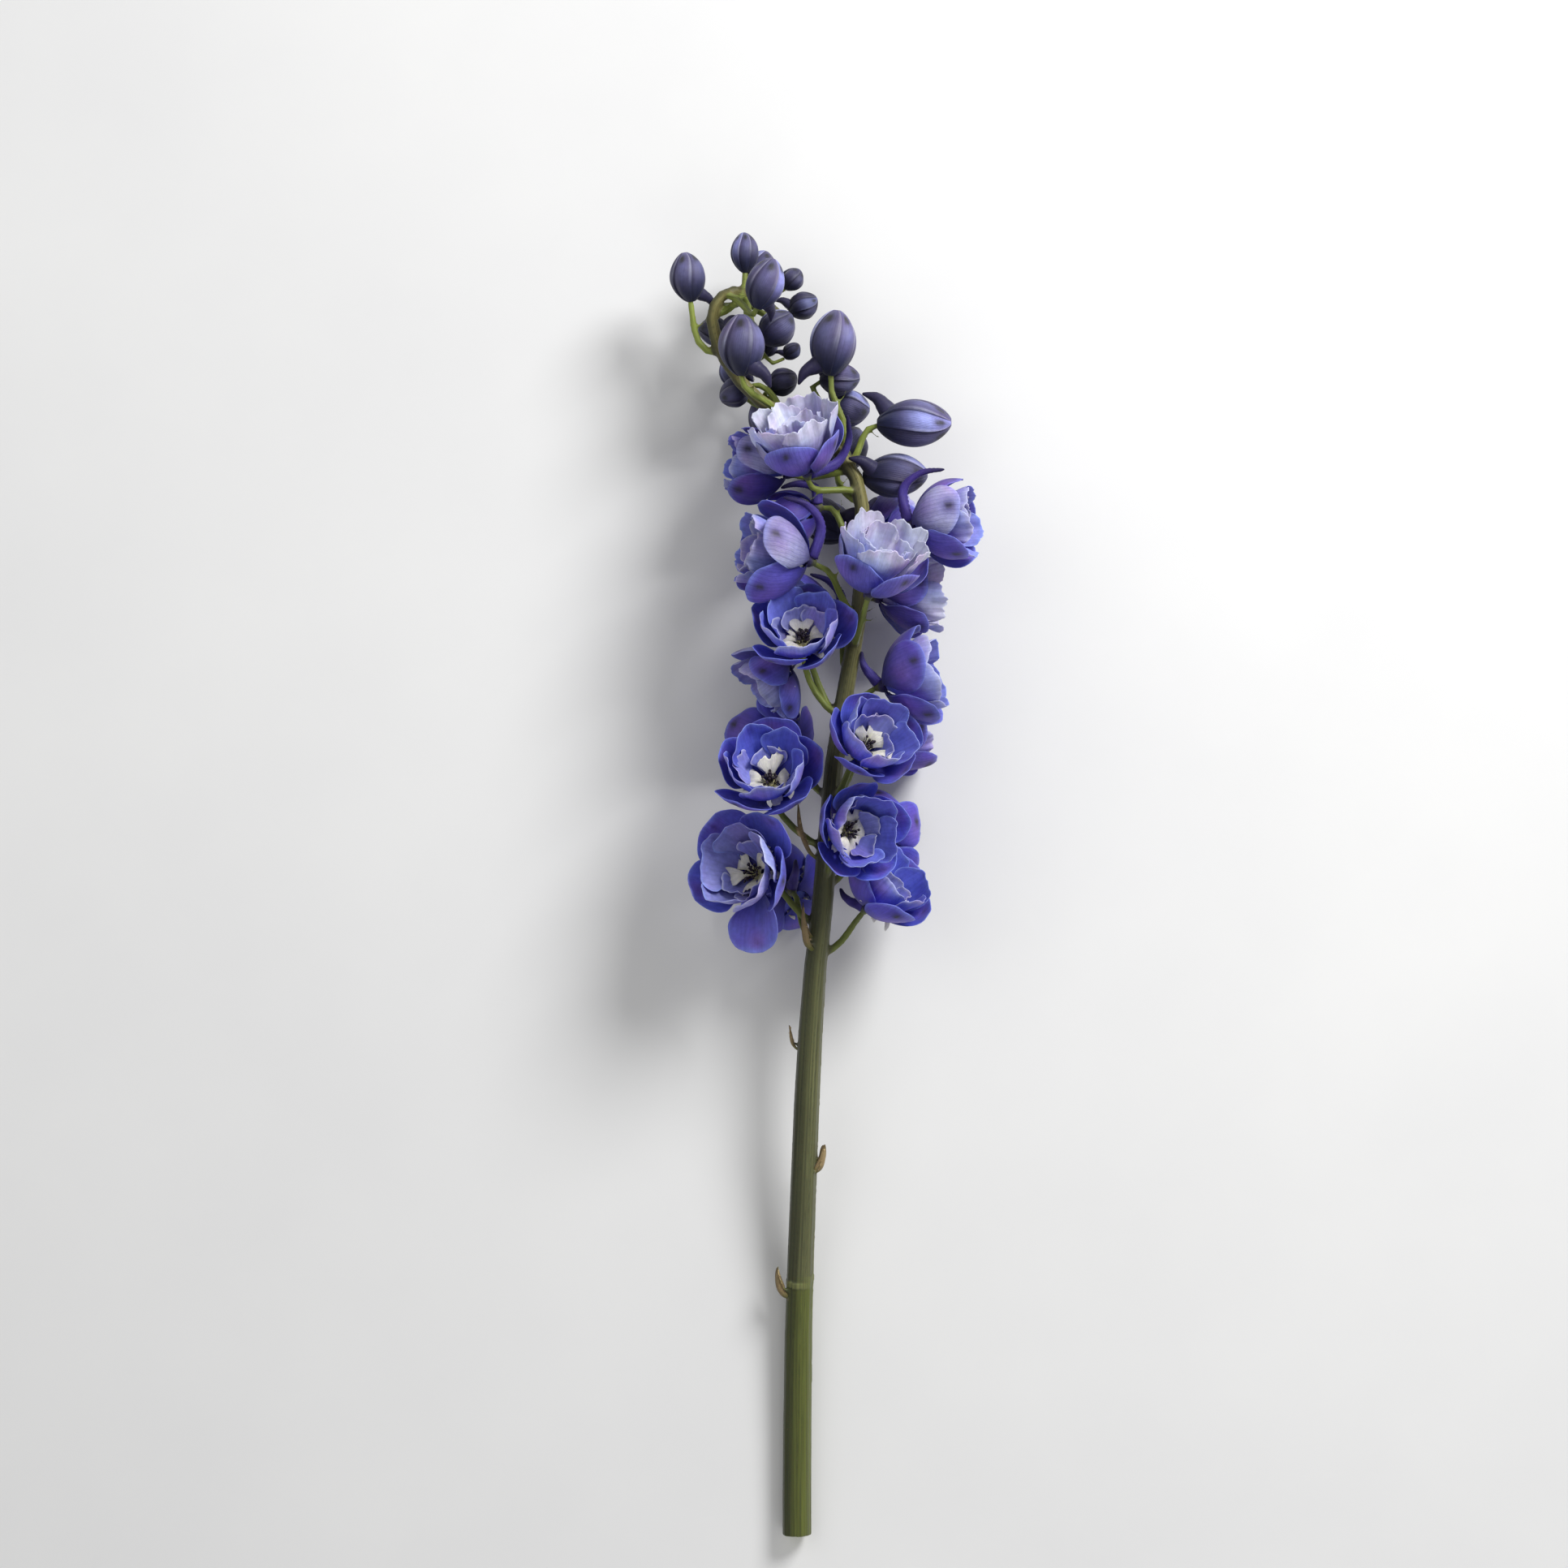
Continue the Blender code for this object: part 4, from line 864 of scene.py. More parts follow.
def add_bee_petal(shape, azimuth, size, width, share, draw):
    """A white petal with two ragged lobes, bent outwards above its claw. share is its part of full length."""
    s, u = np.meshgrid(np.linspace(0, 1, BEE_ROWS), np.linspace(-1, 1, BEE_COLUMNS), indexing="ij")
    lean = math.radians(BEE_LEAN - closing(width) + draw.uniform(*BEE_LEANS))
    bend = math.radians(draw.uniform(*BEE_BENDS))
    twist = math.radians(draw.uniform(*BEE_TWISTS))
    phase = draw.uniform(0, 2 * math.pi)
    fold = draw.uniform(*BEE_FOLDS)
    length = BEE_LENGTH * size * share
    notch = draw.uniform(*BEE_NOTCHES) * (1 - np.abs(u)) ** 1.6 + 0.12 * np.abs(np.sin(4.6 * u + phase))
    run = s * (1 - notch * smooth(s, 0.45, 1.0))
    half = BEE_HALF_WIDTH * size * draw.uniform(*BEE_WIDTHS)
    half = half * (0.28 + 0.95 * smooth(s, 0.20, 0.75) - 0.20 * smooth(s, 0.85, 1.0))
    angle = lean + bend * smooth(run, 0.35, 1.0)
    radius = BEE_ROOT_RADIUS - 0.9 + length * run * np.sin(angle)
    height = BEE_ROOT_HEIGHT - 1.6 + length * run * np.cos(angle)
    turn = twist * s
    lift = fold * half * u * u + 0.55 * s * np.sin(4.4 * u + phase)
    sideways = half * u * np.cos(turn)
    radius = radius + half * u * np.sin(turn) - lift * np.cos(angle)
    height = height + lift * np.sin(angle)
    cream = smooth(s, 0.0, 0.35)
    lilac = draw.uniform(0.0, 0.35) * smooth(s, 0.3, 1.0)
    tint = layered(THROAT_YELLOW, (CREAM, cream), (GREY_LILAC, lilac)) * draw.uniform(*BEE_TONES)
    middle = turned(azimuth, radius, sideways, height)
    shape.add_sheet(middle, np.full_like(s, BEE_THICKNESS), tint, tint, u, s, draw.random())


def add_stamens(shape, size, draw):
    """A crowd of dark filaments, each with an anther, in the middle of the throat."""
    for _ in range(STAMEN_COUNT):
        azimuth = draw.uniform(0, 2 * math.pi)
        foot = draw.uniform(*STAMEN_FEET)
        spread = draw.uniform(*STAMEN_SPREADS) * size
        rise = draw.uniform(*STAMEN_RISES) * size
        out = np.array([math.cos(azimuth), math.sin(azimuth), 0])
        root = out * foot + np.array([0, 0, STAMEN_FOOT])
        top = out * (foot + spread) + np.array([0, 0, STAMEN_FOOT + rise])
        belly = (root + top) / 2 + np.array([0, 0, 0.9]) + out * draw.uniform(-0.4, 0.7)
        line = catmull_rom([root, belly, top], len(FILAMENT_RADII))
        shape.add_tube(line, FILAMENT_RADII, 5, lambda along: STAMEN_DARK, slot=1)
        way = unit(line[-1] - line[-2]) + np.array([0, 0, -0.2])
        anther = [line[-1] + way * step for step in ANTHER_STEPS]
        tint = STAMEN_DARK * draw.uniform(0.6, 1.5)
        shape.add_tube(anther, ANTHER_RADII, 6, lambda along: tint, slot=1)


def bee_piece(flower, place, axes, materials):
    """The white petals and dark stamens in the throat of an open flower."""
    node = flower.name.replace("flower", "bee")
    shape = Shape()
    draw = random.Random(f"{SEED} {node}")
    heights, radii = zip(*BEE_FOOT)
    shape.add_tube([(0, 0, height) for height in heights], radii, BEE_SIDES, lambda along: THROAT_YELLOW)
    shares = list(BEE_SHARES)
    draw.shuffle(shares)
    for azimuth, share in zip(ring_azimuths(0), shares):
        azimuth += draw.uniform(-BEE_SCATTER, BEE_SCATTER)
        add_bee_petal(shape, azimuth, flower.size, flower.width, share, draw)
    add_stamens(shape, flower.size, draw)
    piece = shape.piece(f"throat_{node}", shape.moved(place, axes), [materials["bee"], materials["stamen"]])
    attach(piece, "root")
    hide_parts(node)


def bud_radius(t, bud):
    """The radius of a bud at t, from its broad base at 0 to its tip at 1."""
    return 0.5 * bud.length * bud.width * np.sin(math.pi * np.clip(t, 0, 1)) ** BUD_BLUNTNESS


def bud_base(bud):
    """The height of a bud's base, so that its first ring is at the back of the knob."""
    return -KNOB_BACK - bud.length * BUD_RINGS[0]


def bud_spur(bud):
    """The curve of the spur that hooks back beside the stalk."""
    half = 0.5 * bud.length * bud.width
    base = bud_base(bud)
    return [
        (0, half * 0.70, base + bud.length * 0.13),
        (0, half * 1.10, base + bud.length * 0.02),
        (0, half * 1.30, base - bud.length * 0.16),
    ]


def coarse_bud(bud):
    """The outermost points of a bud's solid, in its own frame."""
    points = [catmull_rom(bud_spur(bud), 3)[1:]]
    angles = math.pi / 2 + (np.arange(8) - 0.5) * math.pi / 4
    for t in BUD_RINGS:
        radius = bud_radius(t, bud)
        heights = np.full(8, bud_base(bud) + bud.length * t)
        points.append(np.stack([radius * np.cos(angles), radius * np.sin(angles), heights], -1))
    return np.vstack(points)


def fold_columns(draw):
    """Angle round a bud, share across its sepal and brightness of that, for each column of points."""
    spans = list(FOLD_SPANS)
    draw.shuffle(spans)
    tones = list(FOLD_TONES)
    draw.shuffle(tones)
    begins = np.concatenate([[0], np.cumsum(spans)]) * 2 * math.pi / sum(spans)
    angles = [begin + FOLD_PLACES * (after - begin) for begin, after in zip(begins[:-1], begins[1:])]
    return np.concatenate(angles), np.tile(FOLD_PLACES, PETAL_COUNT), np.repeat(tones, len(FOLD_PLACES))


def bud_tints(bud, t, share, light):
    """Slate with a blue painted highlight on the middle of each sepal and on the bright sepals, a pale
    painted highlight along the overlapping edges, painted shade along the seams under them, green spots and a
    dark base.
    """
    middle = 1 - np.abs(share - 0.45) * 2
    bright = smooth(light, 1.05, 1.30)
    spot = np.exp(-((t - 0.86) / 0.07) ** 2 - ((share - 0.45) / 0.20) ** 2)
    tint = layered(
        BUD_SLATE,
        # Blue painted highlight on the middle of each sepal and on the brightest sepals
        (BUD_PAINTED_HIGHLIGHT, smooth(t, 0.2, 0.7) * (0.25 * smooth(middle, 0.1, 0.9) + 0.65 * bright)),
        # Pale painted highlight along the overlapping edge of each sepal
        (LILAC_WHITE, 0.45 * smooth(share, 0.84, 0.99) * smooth(t, 0.3, 0.6)),
        # Painted shade along the seam where each sepal is tucked under the edge of its neighbour
        (BUD_DARK, 0.6 * (1 - smooth(share, 0.0, 0.10))),
        (BUD_GREEN * 0.8, np.clip(1.4 * spot, 0, 0.92)),
    )
    base_dark = (1 - smooth(t, 0.14, 0.70))[..., None] * BASE_SHADE
    return mixed(tint * light[..., None] * (1 - base_dark), BUD_DARK, 0.75 * bud.dark)


def add_bud_body(shape, bud, draw):
    """Five folded sepals of unlike width that overlap each other round the bud, each edge a small step."""
    start = draw.uniform(0, 2 * math.pi)
    twist = draw.uniform(*FOLD_TWISTS)
    angle, share, light = fold_columns(draw)
    columns = len(angle)
    angle, t = np.meshgrid(angle, 0.02 + 0.968 * (0.5 - 0.5 * np.cos(np.linspace(0, math.pi, BUD_ROWS))))
    share = np.broadcast_to(share, angle.shape)
    light = np.broadcast_to(light, angle.shape)
    step = FOLD_STEP * bud.length * bud.width
    radius = bud_radius(t, bud) + step * (share - 0.5) * np.sin(math.pi * t) ** 0.6
    radius = radius * (1 + FOLD_BULGE * np.cos((share - 0.5) * 2 * math.pi))
    wrinkle = BUD_WRINKLE * bud.dark * np.sin(23 * angle + 6 * t) * np.sin(math.pi * t)
    radius = radius * (1 + wrinkle)
    turn = start + angle + twist * t * t
    height = bud_base(bud) + bud.length * t
    points = np.stack([radius * np.cos(turn), radius * np.sin(turn), height], -1).reshape(-1, 3)
    ends = np.array([[0, 0, bud_base(bud) + bud.length * end] for end in BUD_ENDS])
    tints = np.vstack([bud_tints(bud, t, share, light).reshape(-1, 3), BUD_DARK, BUD_GREEN])
    vein = np.stack([share * 2 - 1, t, np.full_like(t, draw.random())], -1).reshape(-1, 3)
    vein = np.vstack([vein, [[0, 0, 0], [0, 1, 0]]])
    lines = 1.0 if bud.name in STRIPED_BUDS else WEAK_LINES
    shape.add(np.vstack([points, ends]), ring_faces(BUD_ROWS, columns), tints, vein, 0, lines)


def bud_spur_tints(along):
    return layered(BUD_SLATE, (BUD_DARK, 0.7), (BUD_DARK, along))


def bud_piece(bud, materials):
    """The folded sepals and the spur of a closed bud."""
    shape = Shape()
    draw = random.Random(f"{SEED} {bud.name}")
    add_bud_body(shape, bud, draw)
    half = 0.5 * bud.length * bud.width
    root = (0, 0.2 * half, bud_spur(bud)[0][2] + 0.12 * bud.length)
    curve = catmull_rom([root] + bud_spur(bud), BUD_SPUR_RINGS)
    radii = half * np.interp(np.linspace(0, 1, BUD_SPUR_RINGS), *BUD_SPUR_RADII)
    shape.add_tube(curve, radii, BUD_SPUR_RINGS, bud_spur_tints, 0.0, 0, BUD_WRINKLE, draw.uniform(0, 6))
    axes = flower_axes(bud.facing, bud.roll)
    place = place_in(bud.name, coarse_bud(bud), axes)
    piece = shape.piece(f"sepals_{bud.name}", shape.moved(place, axes), [materials["bud"]])
    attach(piece, "root")
    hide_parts(bud.name)


def stem_middle(points):
    """The middle line of the main stem in the frame of the given points, in millimetres, and its radius."""
    low = points[:, 1].min()
    cut = np.array([points[points[:, 1] < low + 1][:, 0].mean(), low, 0])
    line = catmull_rom(STEM_LINE, STEM_STEPS)
    return line[:, :3] - np.array([CUT_END_X, 0, 0]) + cut, line[:, 3]


def stem_places(points, middle, radius):
    """For each point: how far along the main stem, how far from its middle, radius and angle round it."""
    steps = np.linalg.norm(np.diff(middle, axis=0), axis=1)
    run = np.concatenate([[0], np.cumsum(steps)])
    ways = unit(np.gradient(middle, axis=0))
    nearest = np.empty(len(points), int)
    for start in range(0, len(points), POINTS_AT_ONCE):
        block = points[start:start + POINTS_AT_ONCE]
        gaps = ((block[:, None, :] - middle[None]) ** 2).sum(-1)
        nearest[start:start + POINTS_AT_ONCE] = gaps.argmin(1)
    offset = points - middle[nearest]
    away = np.linalg.norm(offset, axis=1)
    side = unit(np.cross(ways[nearest], (0, 0, 1.0)))
    over = np.cross(side, ways[nearest])
    angle = np.arctan2((offset * over).sum(1), (offset * side).sum(1))
    return run[nearest], away, radius[nearest], angle


def bract_spine(distance, angle, length, middle, radius):
    """Points along a bract, from inside the stem to its tip, and the way out of the stem."""
    row = np.argmin(np.abs(middle[:, 1] - middle[0, 1] - distance))
    turn = math.radians(angle)
    out = np.array([math.cos(turn), 0, math.sin(turn)])
    spine = []
    for run, (inner, outer) in zip(BRACT_RUNS, BRACT_REACHES):
        reach = radius[row] * inner + outer * length
        spine.append(middle[row] + out * reach + np.array([0, length * run, 0]))
    return spine, out


def bract_nearness(points, middle, radius):
    """1 on the dry bracts and 0 elsewhere."""
    nearest = np.full(len(points), np.inf)
    for distance, angle, length, _ in BRACTS:
        spine, _ = bract_spine(distance, angle, length, middle, radius)
        for place in catmull_rom(spine, BRACT_ROWS)[4:]:
            nearest = np.minimum(nearest, np.linalg.norm(points - place, axis=1))
    return 1 - smooth(nearest, 1.5, 2.0)


def add_bract(shape, bract, middle, radius):
    """A small withered leaf that grows from the bare stem, twisted, with a curled ragged blade."""
    distance, angle, length, half_width = bract
    draw = random.Random(f"{SEED} bract {distance}")
    spine, out = bract_spine(distance, angle, length, middle, radius)
    spine[-1] = spine[-1] + 0.4 * (spine[-1] - spine[-2])
    line = catmull_rom(spine, BRACT_ROWS)
    ahead = unit(np.gradient(line, axis=0))
    across = unit(np.cross(ahead, out))
    over = np.cross(across, ahead)
    rise = np.linspace(0, 1, BRACT_ROWS)
    side = math.copysign(1, math.cos(math.radians(angle)))
    turn = (math.radians(draw.uniform(*BRACT_TWISTS) * side) * rise)[:, None]
    across, over = across * np.cos(turn) + over * np.sin(turn), over * np.cos(turn) - across * np.sin(turn)
    s, u = np.meshgrid(rise, np.linspace(-1, 1, BRACT_COLUMNS), indexing="ij")
    half = half_width * (0.60 + 2.0 * s) * (1 - s) ** 0.8 + 0.10
    half = half * (1 + 0.10 * np.sin(9 * s + draw.uniform(0, 6)) * np.sign(u))
    curl = draw.uniform(*BRACT_CURLS) * half * u * u + 0.16 * np.sin(11 * s + 2.4 * u + draw.uniform(0, 6))
    blade = line[:, None] + across[:, None] * (half * u)[..., None] - over[:, None] * curl[..., None]
    dark = 0.75 * smooth(s, 0.82, 1.0) + 0.35 * smooth(np.abs(u), 0.55, 1.0)
    tint = layered(STALK_GREEN * 0.75, (DRY, smooth(s, 0.12, 0.55)), (DRY_DARK, dark))
    tint = tint * draw.uniform(*BRACT_TONES)
    thickness = BRACT_THICKNESS * (1 - RIM_THINNING * np.abs(u))
    shape.add_sheet(blade, thickness, tint, 0.8 * tint, u, s, draw.random())


def bracts_piece(line, materials):
    """The dry bracts of the bare stem, where the solid has thin slivers."""
    shape = Shape()
    for bract in BRACTS:
        add_bract(shape, bract, *line)
    piece = shape.piece("dry_bracts", np.vstack(shape.points), [materials["bract"]])
    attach(piece, "root")


def vertex_data(mesh, name):
    """Places or normals of a mesh's points, as rows."""
    values = np.empty(len(mesh.vertices) * 3, np.float32)
    mesh.vertices.foreach_get(name, values)
    return values.reshape(-1, 3).astype(float)


def set_points(mesh, points):
    """Moves the points of a mesh to places in millimetres."""
    mesh.vertices.foreach_set("co", (points * MM).astype(np.float32).ravel())
    mesh.update()


def swelled(mesh, distance, line):
    """Moves what is away from the main stem out along its normals, or in where the distance is below 0."""
    points = vertex_data(mesh, "co") / MM
    _, away, radius, _ = stem_places(points, *line)
    share = smooth(away / radius, 1.05, 1.35)[:, None]
    set_points(mesh, points + vertex_data(mesh, "normal") * share * distance)


def applied(piece, *settings):
    """The mesh of a piece after the given modifiers."""
    for kind, values in settings:
        modifier = piece.modifiers.new(kind, kind)
        for name, value in values.items():
            setattr(modifier, name, value)
    bpy.context.view_layer.update()
    depsgraph = bpy.context.evaluated_depsgraph_get()
    mesh = bpy.data.meshes.new_from_object(piece.evaluated_get(depsgraph))
    piece.modifiers.clear()
    old = piece.data
    piece.data = mesh
    bpy.data.meshes.remove(old)
    return mesh


def stem_copy():
    """A copy of the solid's stem as one joined mesh."""
    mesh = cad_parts["stem"].data.copy()
    mesh.materials.clear()
    piece = new_object("ridged_stem", mesh)
    work = bmesh.new()
    work.from_mesh(mesh)
    bmesh.ops.remove_doubles(work, verts=work.verts, dist=1e-6)
    work.to_mesh(mesh)
    work.free()
    return piece


StemForm = namedtuple("StemForm", "run away radius angle main cut ridges collar")


def stem_form(points, normals, line):
    """Where each point is on the main stem, and its share of the cut end, the ridges and the collar."""
    run, away, radius, angle = stem_places(points, *line)
    main = 1 - smooth(away / radius, 1.12, 1.45)
    cut = main * (1 - smooth(run, 0.0, 0.9)) * smooth(-normals[:, 1], 0.4, 0.9)
    ridges = np.abs(np.sin(RIDGE_COUNT * angle / 2 + 0.02 * run)) ** 0.7 - 0.6
    ridges += 0.5 * np.sin(7 * angle + 1.3 + 0.01 * run)
    collar = main * np.exp(-((run - COLLAR_PLACE - COLLAR_SLANT * np.cos(angle)) / COLLAR_WIDTH) ** 2)
    return StemForm(run, away, radius, angle, main, cut, ridges, collar)


def stem_relief(points, normals, form):
    """The points with ridges along the main stem, a collar round it and a hollow in its cut end."""
    points = points + normals * (RIDGE_DEPTH * form.ridges * form.main * (1 - form.cut))[:, None]
    points += normals * (COLLAR_HEIGHT * form.collar)[:, None]
    hollow = 1 - smooth(form.away, 0.5, 0.62 * form.radius[0])
    points[:, 1] += PITH_HOLLOW * hollow * form.cut
    points[:, 2] = np.maximum(points[:, 2], 0.0)
    return points


def stem_tints(form, dry):
    """Green that pales towards the tip, with painted shade on its left side and in the grooves between its
    ridges, dry at the bracts.
    """
    rise = form.run / form.run.max()
    main = layered(
        STEM_LOW,
        (STEM_MIDDLE, smooth(form.run, *COLLAR_FADE)),
        (STEM_HIGH, smooth(rise, 0.45, 0.85)),
        # Painted shade on the left side of the stem, away from the key light
        (STEM_PAINTED_SHADE, 0.70 * smooth(-np.cos(form.angle), -0.45, 0.8) * form.main),
        # Painted shade in the grooves between the ridges
        (STEM_PAINTED_SHADE, 0.45 * smooth(-form.ridges, 0.1, 0.9) * form.main),
        (COLLAR_GREEN, 0.65 * form.collar),
    )
    stalk = mixed(STALK_GREEN * 0.6, STALK_GREEN, smooth(rise, 0.45, 0.65))
    pith = 1 - smooth(form.away, 0.60 * form.radius[0], 0.82 * form.radius[0])
    cut = mixed(STALK_GREEN * 0.8, PITH, pith)
    return layered(stalk, (main, form.main), (DRY, dry), (cut, form.cut))


def stem_piece(materials):
    """The stem with soft joints to its stalks, fine ridges and a pale pith at the cut."""
    piece = stem_copy()
    line = stem_middle(vertex_data(piece.data, "co") / MM)
    swelled(piece.data, THIN_SWELL, line)
    mesh = applied(
        piece,
        ("REMESH", {"mode": "VOXEL", "voxel_size": STEM_VOXEL * MM, "adaptivity": 0.0}),
        ("SMOOTH", {"factor": 0.5, "iterations": SMOOTH_ROUNDS}),
    )
    swelled(mesh, -THIN_SHRINK, line)
    points = vertex_data(mesh, "co") / MM
    normals = vertex_data(mesh, "normal")
    form = stem_form(points, normals, line)
    points = stem_relief(points, normals, form)
    dry = bract_nearness(points, *line) * smooth(form.away / form.radius, 0.98, 1.12)
    set_points(mesh, points - normals * (BRACT_SINKING * dry)[:, None])
    veins = np.stack([np.cos(form.angle), np.sin(form.angle), form.run / 100], -1)
    set_looks(mesh, stem_tints(form, dry), veins)
    mesh.shade_smooth()
    mesh.materials.append(materials["stem"])
    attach(piece, "root")
    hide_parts("stem")
    bracts_piece(line, materials)


class Nodes:
    """Short calls for building a material out of nodes. A value is a constant or another node's output."""

    def __init__(self, name):
        self.material = bpy.data.materials.new(name)
        self.material.use_nodes = True
        self.tree = self.material.node_tree
        self.shader = self.tree.nodes["Principled BSDF"]

    def fill(self, socket, value):
        if isinstance(value, (int, float, tuple)):
            socket.default_value = value
        else:
            self.tree.links.new(value, socket)

    def fill_all(self, sockets, values):
        for socket, value in zip(sockets, values):
            self.fill(socket, value)

    def node(self, kind, values):
        """A new node with values on its sockets or settings of its own."""
        made = self.tree.nodes.new(kind)
        for name, value in values.items():
            if name in made.inputs:
                self.fill(made.inputs[name], value)
            else:
                setattr(made, name, value)
        return made

    def attribute(self, name, output):
        return self.node("ShaderNodeAttribute", {"attribute_name": name}).outputs[output]

    def place(self):
        return self.node("ShaderNodeTexCoord", {}).outputs["Object"]

    def math(self, operation, *values):
        made = self.node("ShaderNodeMath", {"operation": operation})
        self.fill_all(made.inputs, values)
        return made.outputs[0]

    def ranged(self, value, low, high, new_low, new_high):
        limits = {"From Min": low, "From Max": high, "To Min": new_low, "To Max": new_high}
        return self.node("ShaderNodeMapRange", {"Value": value, **limits}).outputs["Result"]

    def noise(self, vector, scale, detail, stretch=None):
        """Noise at a place, after its coordinates are multiplied by a stretch."""
        if stretch:
            stretched = self.node("ShaderNodeVectorMath", {"operation": "MULTIPLY"})
            self.fill_all(stretched.inputs, (vector, stretch))
            vector = stretched.outputs[0]
        values = {"Vector": vector, "Scale": scale, "Detail": detail, "Roughness": 0.55}
        return self.node("ShaderNodeTexNoise", values).outputs["Fac"]

    def mix(self, kind, share, first, second):
        """Blends two colours."""
        made = self.node("ShaderNodeMix", {"data_type": "RGBA", "blend_type": kind})
        self.fill_all((made.inputs[0], made.inputs[6], made.inputs[7]), (share, first, second))
        return made.outputs[2]

    def shade(self, colour, noise, low, high):
        """Darkens and lightens a colour by noise."""
        return self.mix("MULTIPLY", 1.0, colour, self.ranged(noise, 0.3, 0.7, low, high))

    def surface(self, values, height=None, strength=0.0, distance=0.0):
        """The material with these values on its shader, and bumps of a height."""
        for name, value in values.items():
            self.fill(self.shader.inputs[name], value)
        if height is not None:
            bump = self.node("ShaderNodeBump", {"Strength": strength, "Distance": distance, "Height": height})
            self.fill(self.shader.inputs["Normal"], bump.outputs["Normal"])
        return self.material


def vein_lines(nodes, vein, count, thin, distortion):
    """A 0 to 1 value that peaks along fine lines running from the root of a petal to its tip."""
    across = nodes.node("ShaderNodeSeparateXYZ", {"Vector": vein}).outputs[0]
    wander = nodes.noise(vein, 1.6, 2.0, (3.0, 5.0, 40.0))
    sway = nodes.math("MULTIPLY", nodes.math("SUBTRACT", wander, 0.5), distortion)
    phase = nodes.math("MULTIPLY", nodes.math("ADD", across, sway), count * math.pi)
    wave = nodes.math("ABSOLUTE", nodes.math("COSINE", phase))
    return nodes.math("POWER", wave, thin)


def petal_material(name, vein_colour, vein_share, roughness, translucency, blush_share):
    """Soft thin petal: veins from root to tip, faint mottling, velvety sheen."""
    nodes = Nodes(name)
    tint = nodes.attribute("tint", "Color")
    vein = nodes.attribute("vein", "Vector")
    place = nodes.place()
    coarse = vein_lines(nodes, vein, 7.0, 9.0, 0.10)
    fine = vein_lines(nodes, vein, 19.0, 4.0, 0.16)
    lines = nodes.math("MAXIMUM", nodes.math("MULTIPLY", fine, 0.55), coarse)
    share = nodes.math("MULTIPLY", lines, vein_share)
    share = nodes.math("MULTIPLY", share, nodes.attribute("lines", "Fac"))
    mottle = nodes.noise(place, 420.0, 4.0)
    streak = nodes.noise(vein, 1.0, 3.0, (9.0, 1.2, 30.0))
    cells = nodes.noise(place, 2600.0, 2.0)
    blush = nodes.ranged(nodes.noise(place, 55.0, 2.0), 0.45, 0.68, 0.0, blush_share)
    colour = nodes.mix("MIX", share, tint, vein_colour)
    colour = nodes.shade(colour, mottle, 0.86, 1.12)
    colour = nodes.shade(colour, streak, 0.88, 1.10)
    values = {
        "Base Color": nodes.mix("MULTIPLY", blush, colour, PINK_FILTER),
        "Roughness": nodes.ranged(mottle, 0.3, 0.7, roughness - 0.08, roughness + 0.10),
        "Sheen Weight": 0.10,
        "Sheen Roughness": 0.40,
        "Specular IOR Level": 0.30,
        "Subsurface Weight": translucency,
        "Subsurface Radius": (0.5, 0.4, 1.0),
        "Subsurface Scale": 0.0018,
    }
    height = nodes.math("ADD", nodes.math("MULTIPLY", share, -1.6), nodes.math("MULTIPLY", cells, 0.35))
    return nodes.surface(values, height, 0.5, 0.00022)


def stamen_material():
    """Near black, dusty anthers and filaments."""
    nodes = Nodes("stamen")
    grain = nodes.noise(nodes.place(), 3200.0, 3.0)
    values = {
        "Base Color": nodes.shade(nodes.attribute("tint", "Color"), grain, 0.6, 1.7),
        "Roughness": nodes.ranged(grain, 0.3, 0.7, 0.45, 0.75),
    }
    return nodes.surface(values, grain, 0.6, 0.0002)


def stem_material():
    """Fresh ridged stem with long streaks, small flecks and a waxy bloom."""
    nodes = Nodes("stem")
    tint = nodes.attribute("tint", "Color")
    place = nodes.place()
    streak = nodes.noise(nodes.attribute("vein", "Vector"), 1.0, 3.0, (7.0, 7.0, 1.4))
    patch = nodes.noise(place, 1.0, 3.0, (60.0, 14.0, 60.0))
    fleck = nodes.ranged(nodes.noise(place, 900.0, 2.0), 0.66, 0.74, 0.0, 0.35)
    grain = nodes.noise(place, 2200.0, 2.0)
    colour = nodes.mix("MULTIPLY", 1.0, tint, nodes.ranged(streak, 0.32, 0.68, 0.62, 1.32))
    colour = nodes.shade(colour, patch, 0.80, 1.15)
    values = {
        "Base Color": nodes.mix("MIX", fleck, colour, WITHERED_BROWN),
        "Roughness": nodes.ranged(streak, 0.3, 0.7, 0.40, 0.60),
        "Sheen Weight": 0.12,
        "Specular IOR Level": 0.4,
        "Subsurface Weight": 0.08,
        "Subsurface Scale": 0.0015,
    }
    height = nodes.math("ADD", streak, nodes.math("MULTIPLY", grain, 0.3))
    return nodes.surface(values, height, 0.45, 0.0004)


def floor_material():
    """Plain pale matt surface."""
    nodes = Nodes("floor")
    grain = nodes.ranged(nodes.noise(nodes.place(), 6.0, 5.0), 0.3, 0.7, 0.0, 1.0)
    return nodes.surface({"Base Color": nodes.mix("MIX", grain, *FLOOR_TONES), "Roughness": 0.8})


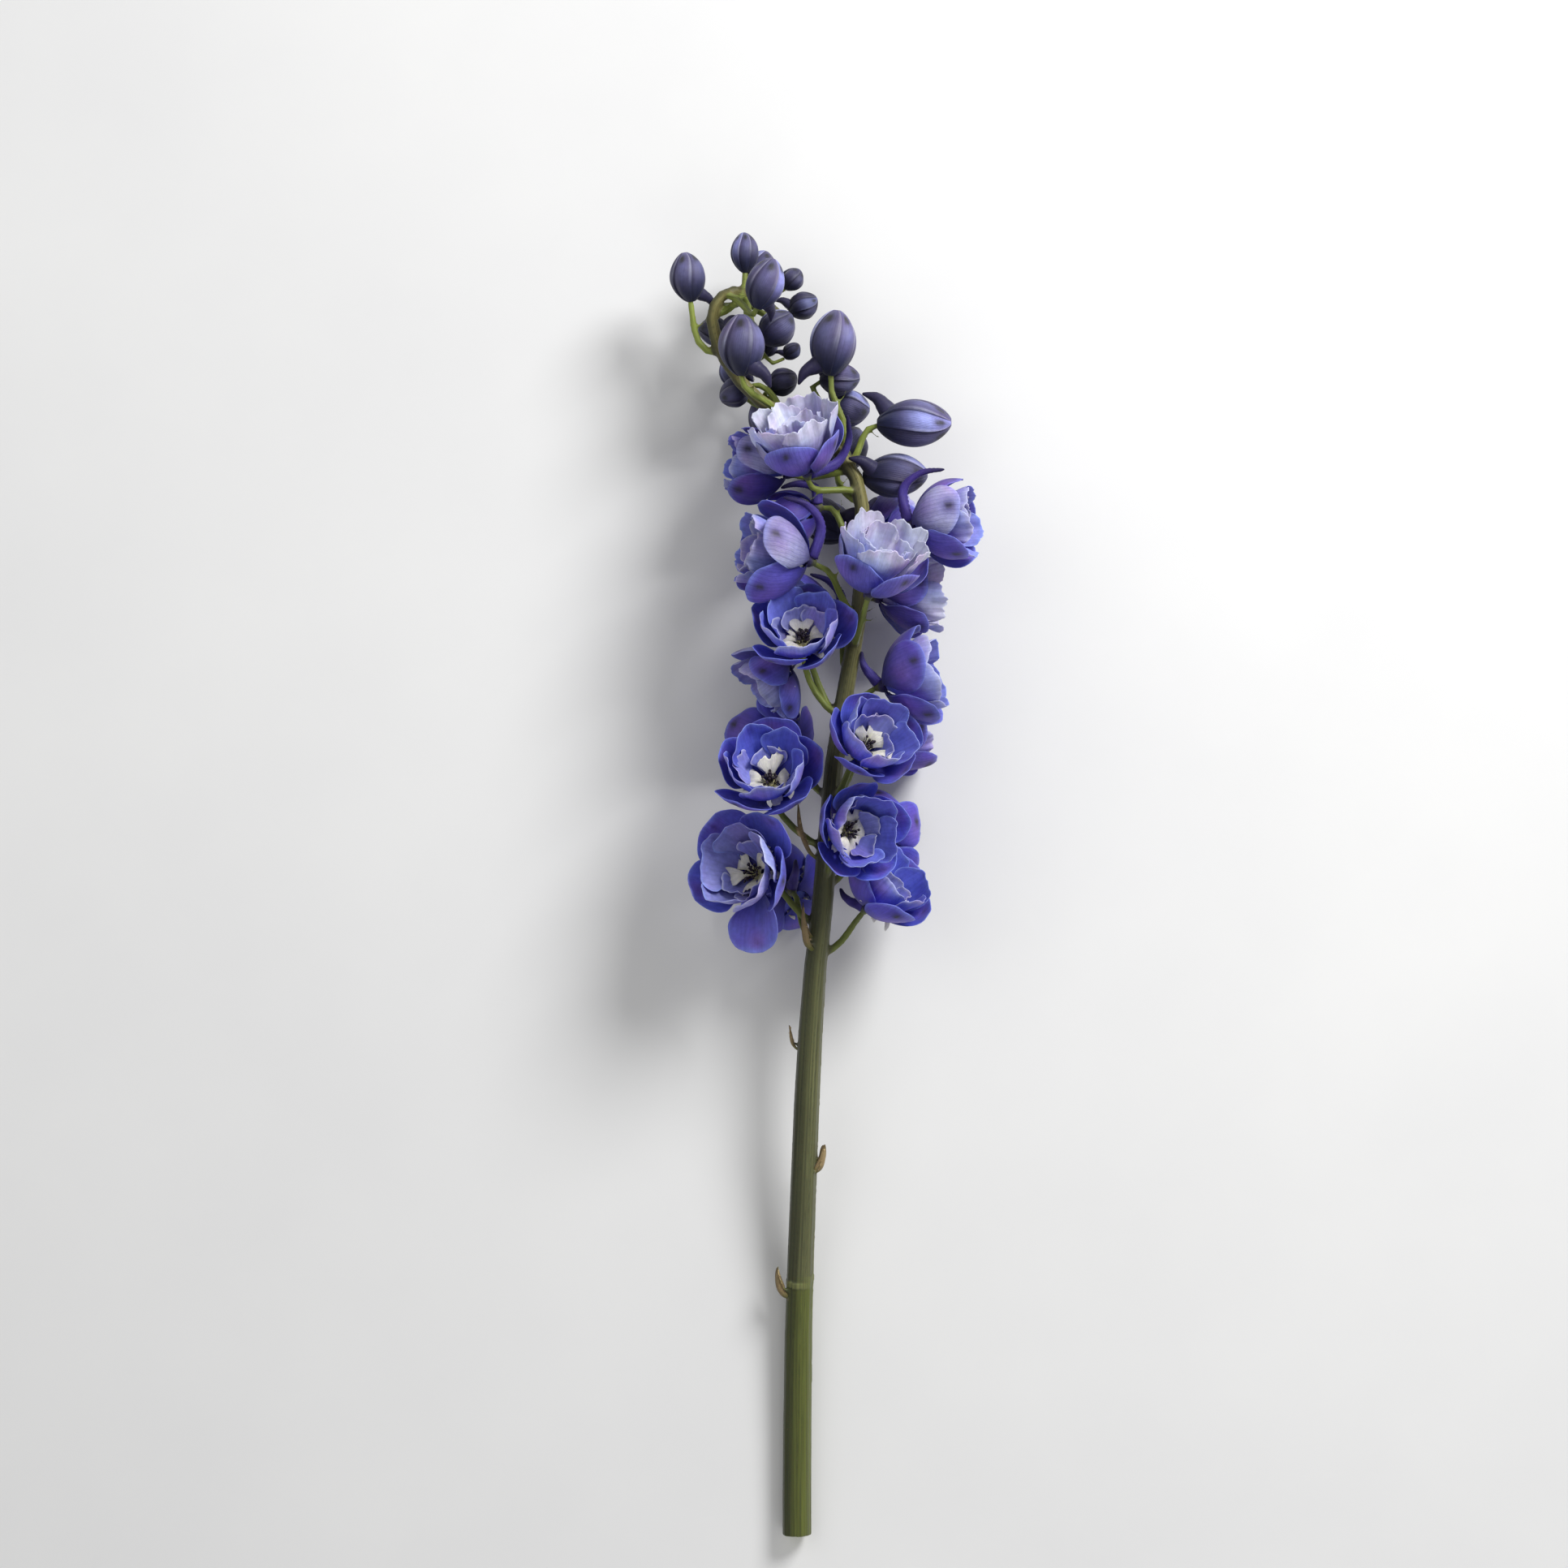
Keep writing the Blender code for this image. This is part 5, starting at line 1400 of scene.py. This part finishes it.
def make_materials():
    """All materials by name."""
    materials = {name: petal_material(name, *looks) for name, looks in PETAL_LOOKS.items()}
    materials["stamen"] = stamen_material()
    materials["stem"] = stem_material()
    return materials


def make_floor():
    """The plain surface that the spike lies on, which belongs to the picture and not to the part."""
    mesh = bpy.data.meshes.new("floor")
    corners = [(x * FLOOR_HALF, y * FLOOR_HALF, 0) for x, y in ((-1, -1), (1, -1), (1, 1), (-1, 1))]
    mesh.from_pydata(corners, [], [(0, 1, 2, 3)])
    mesh.materials.append(floor_material())
    floor = new_object("floor", mesh)


def make_lights(aim):
    """Soft round lights that face the spike, and an even white surround."""
    for name, place, size, power in LIGHTS:
        light = bpy.data.lights.new(name, "AREA")
        light.shape = "DISK"
        light.size = size
        light.energy = power
        made = new_object(name, light)
        made.location = place
        made.rotation_euler = (aim - Vector(place)).to_track_quat("-Z", "Y").to_euler()
    world = bpy.data.worlds.new("studio")
    world.use_nodes = True
    background = world.node_tree.nodes["Background"]
    background.inputs["Color"].default_value = (1.0, 1.0, 1.0, 1.0)
    background.inputs["Strength"].default_value = WORLD_STRENGTH
    bpy.context.scene.world = world


def make_camera(aim):
    """A long lens that looks straight down."""
    camera = bpy.data.cameras.new("camera")
    camera.lens = LENS
    camera.sensor_width = SENSOR
    camera.sensor_fit = "HORIZONTAL"
    made = new_object("camera", camera)
    distance = PICTURE_WIDTH * MM * LENS / SENSOR
    made.location = aim + Vector((0, 0, distance))
    bpy.context.scene.camera = made
    bpy.context.scene.view_settings.view_transform = "Standard"


def main():
    """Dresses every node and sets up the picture."""
    materials = make_materials()
    stem_piece(materials)
    for flower in FLOWERS:
        place, axes = flower_piece(flower, materials)
        if flower.kind == "open":
            bee_piece(flower, place, axes, materials)
    for bud in BUDS:
        bud_piece(bud, materials)
    low, high = (Vector(corner) for corner in cad_bounds)
    aim = Vector(((low.x + high.x) / 2, (low.y + high.y) / 2, 0)) + AIM_FROM_MIDDLE * MM
    make_floor()
    make_lights(aim)
    make_camera(aim)
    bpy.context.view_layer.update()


main()
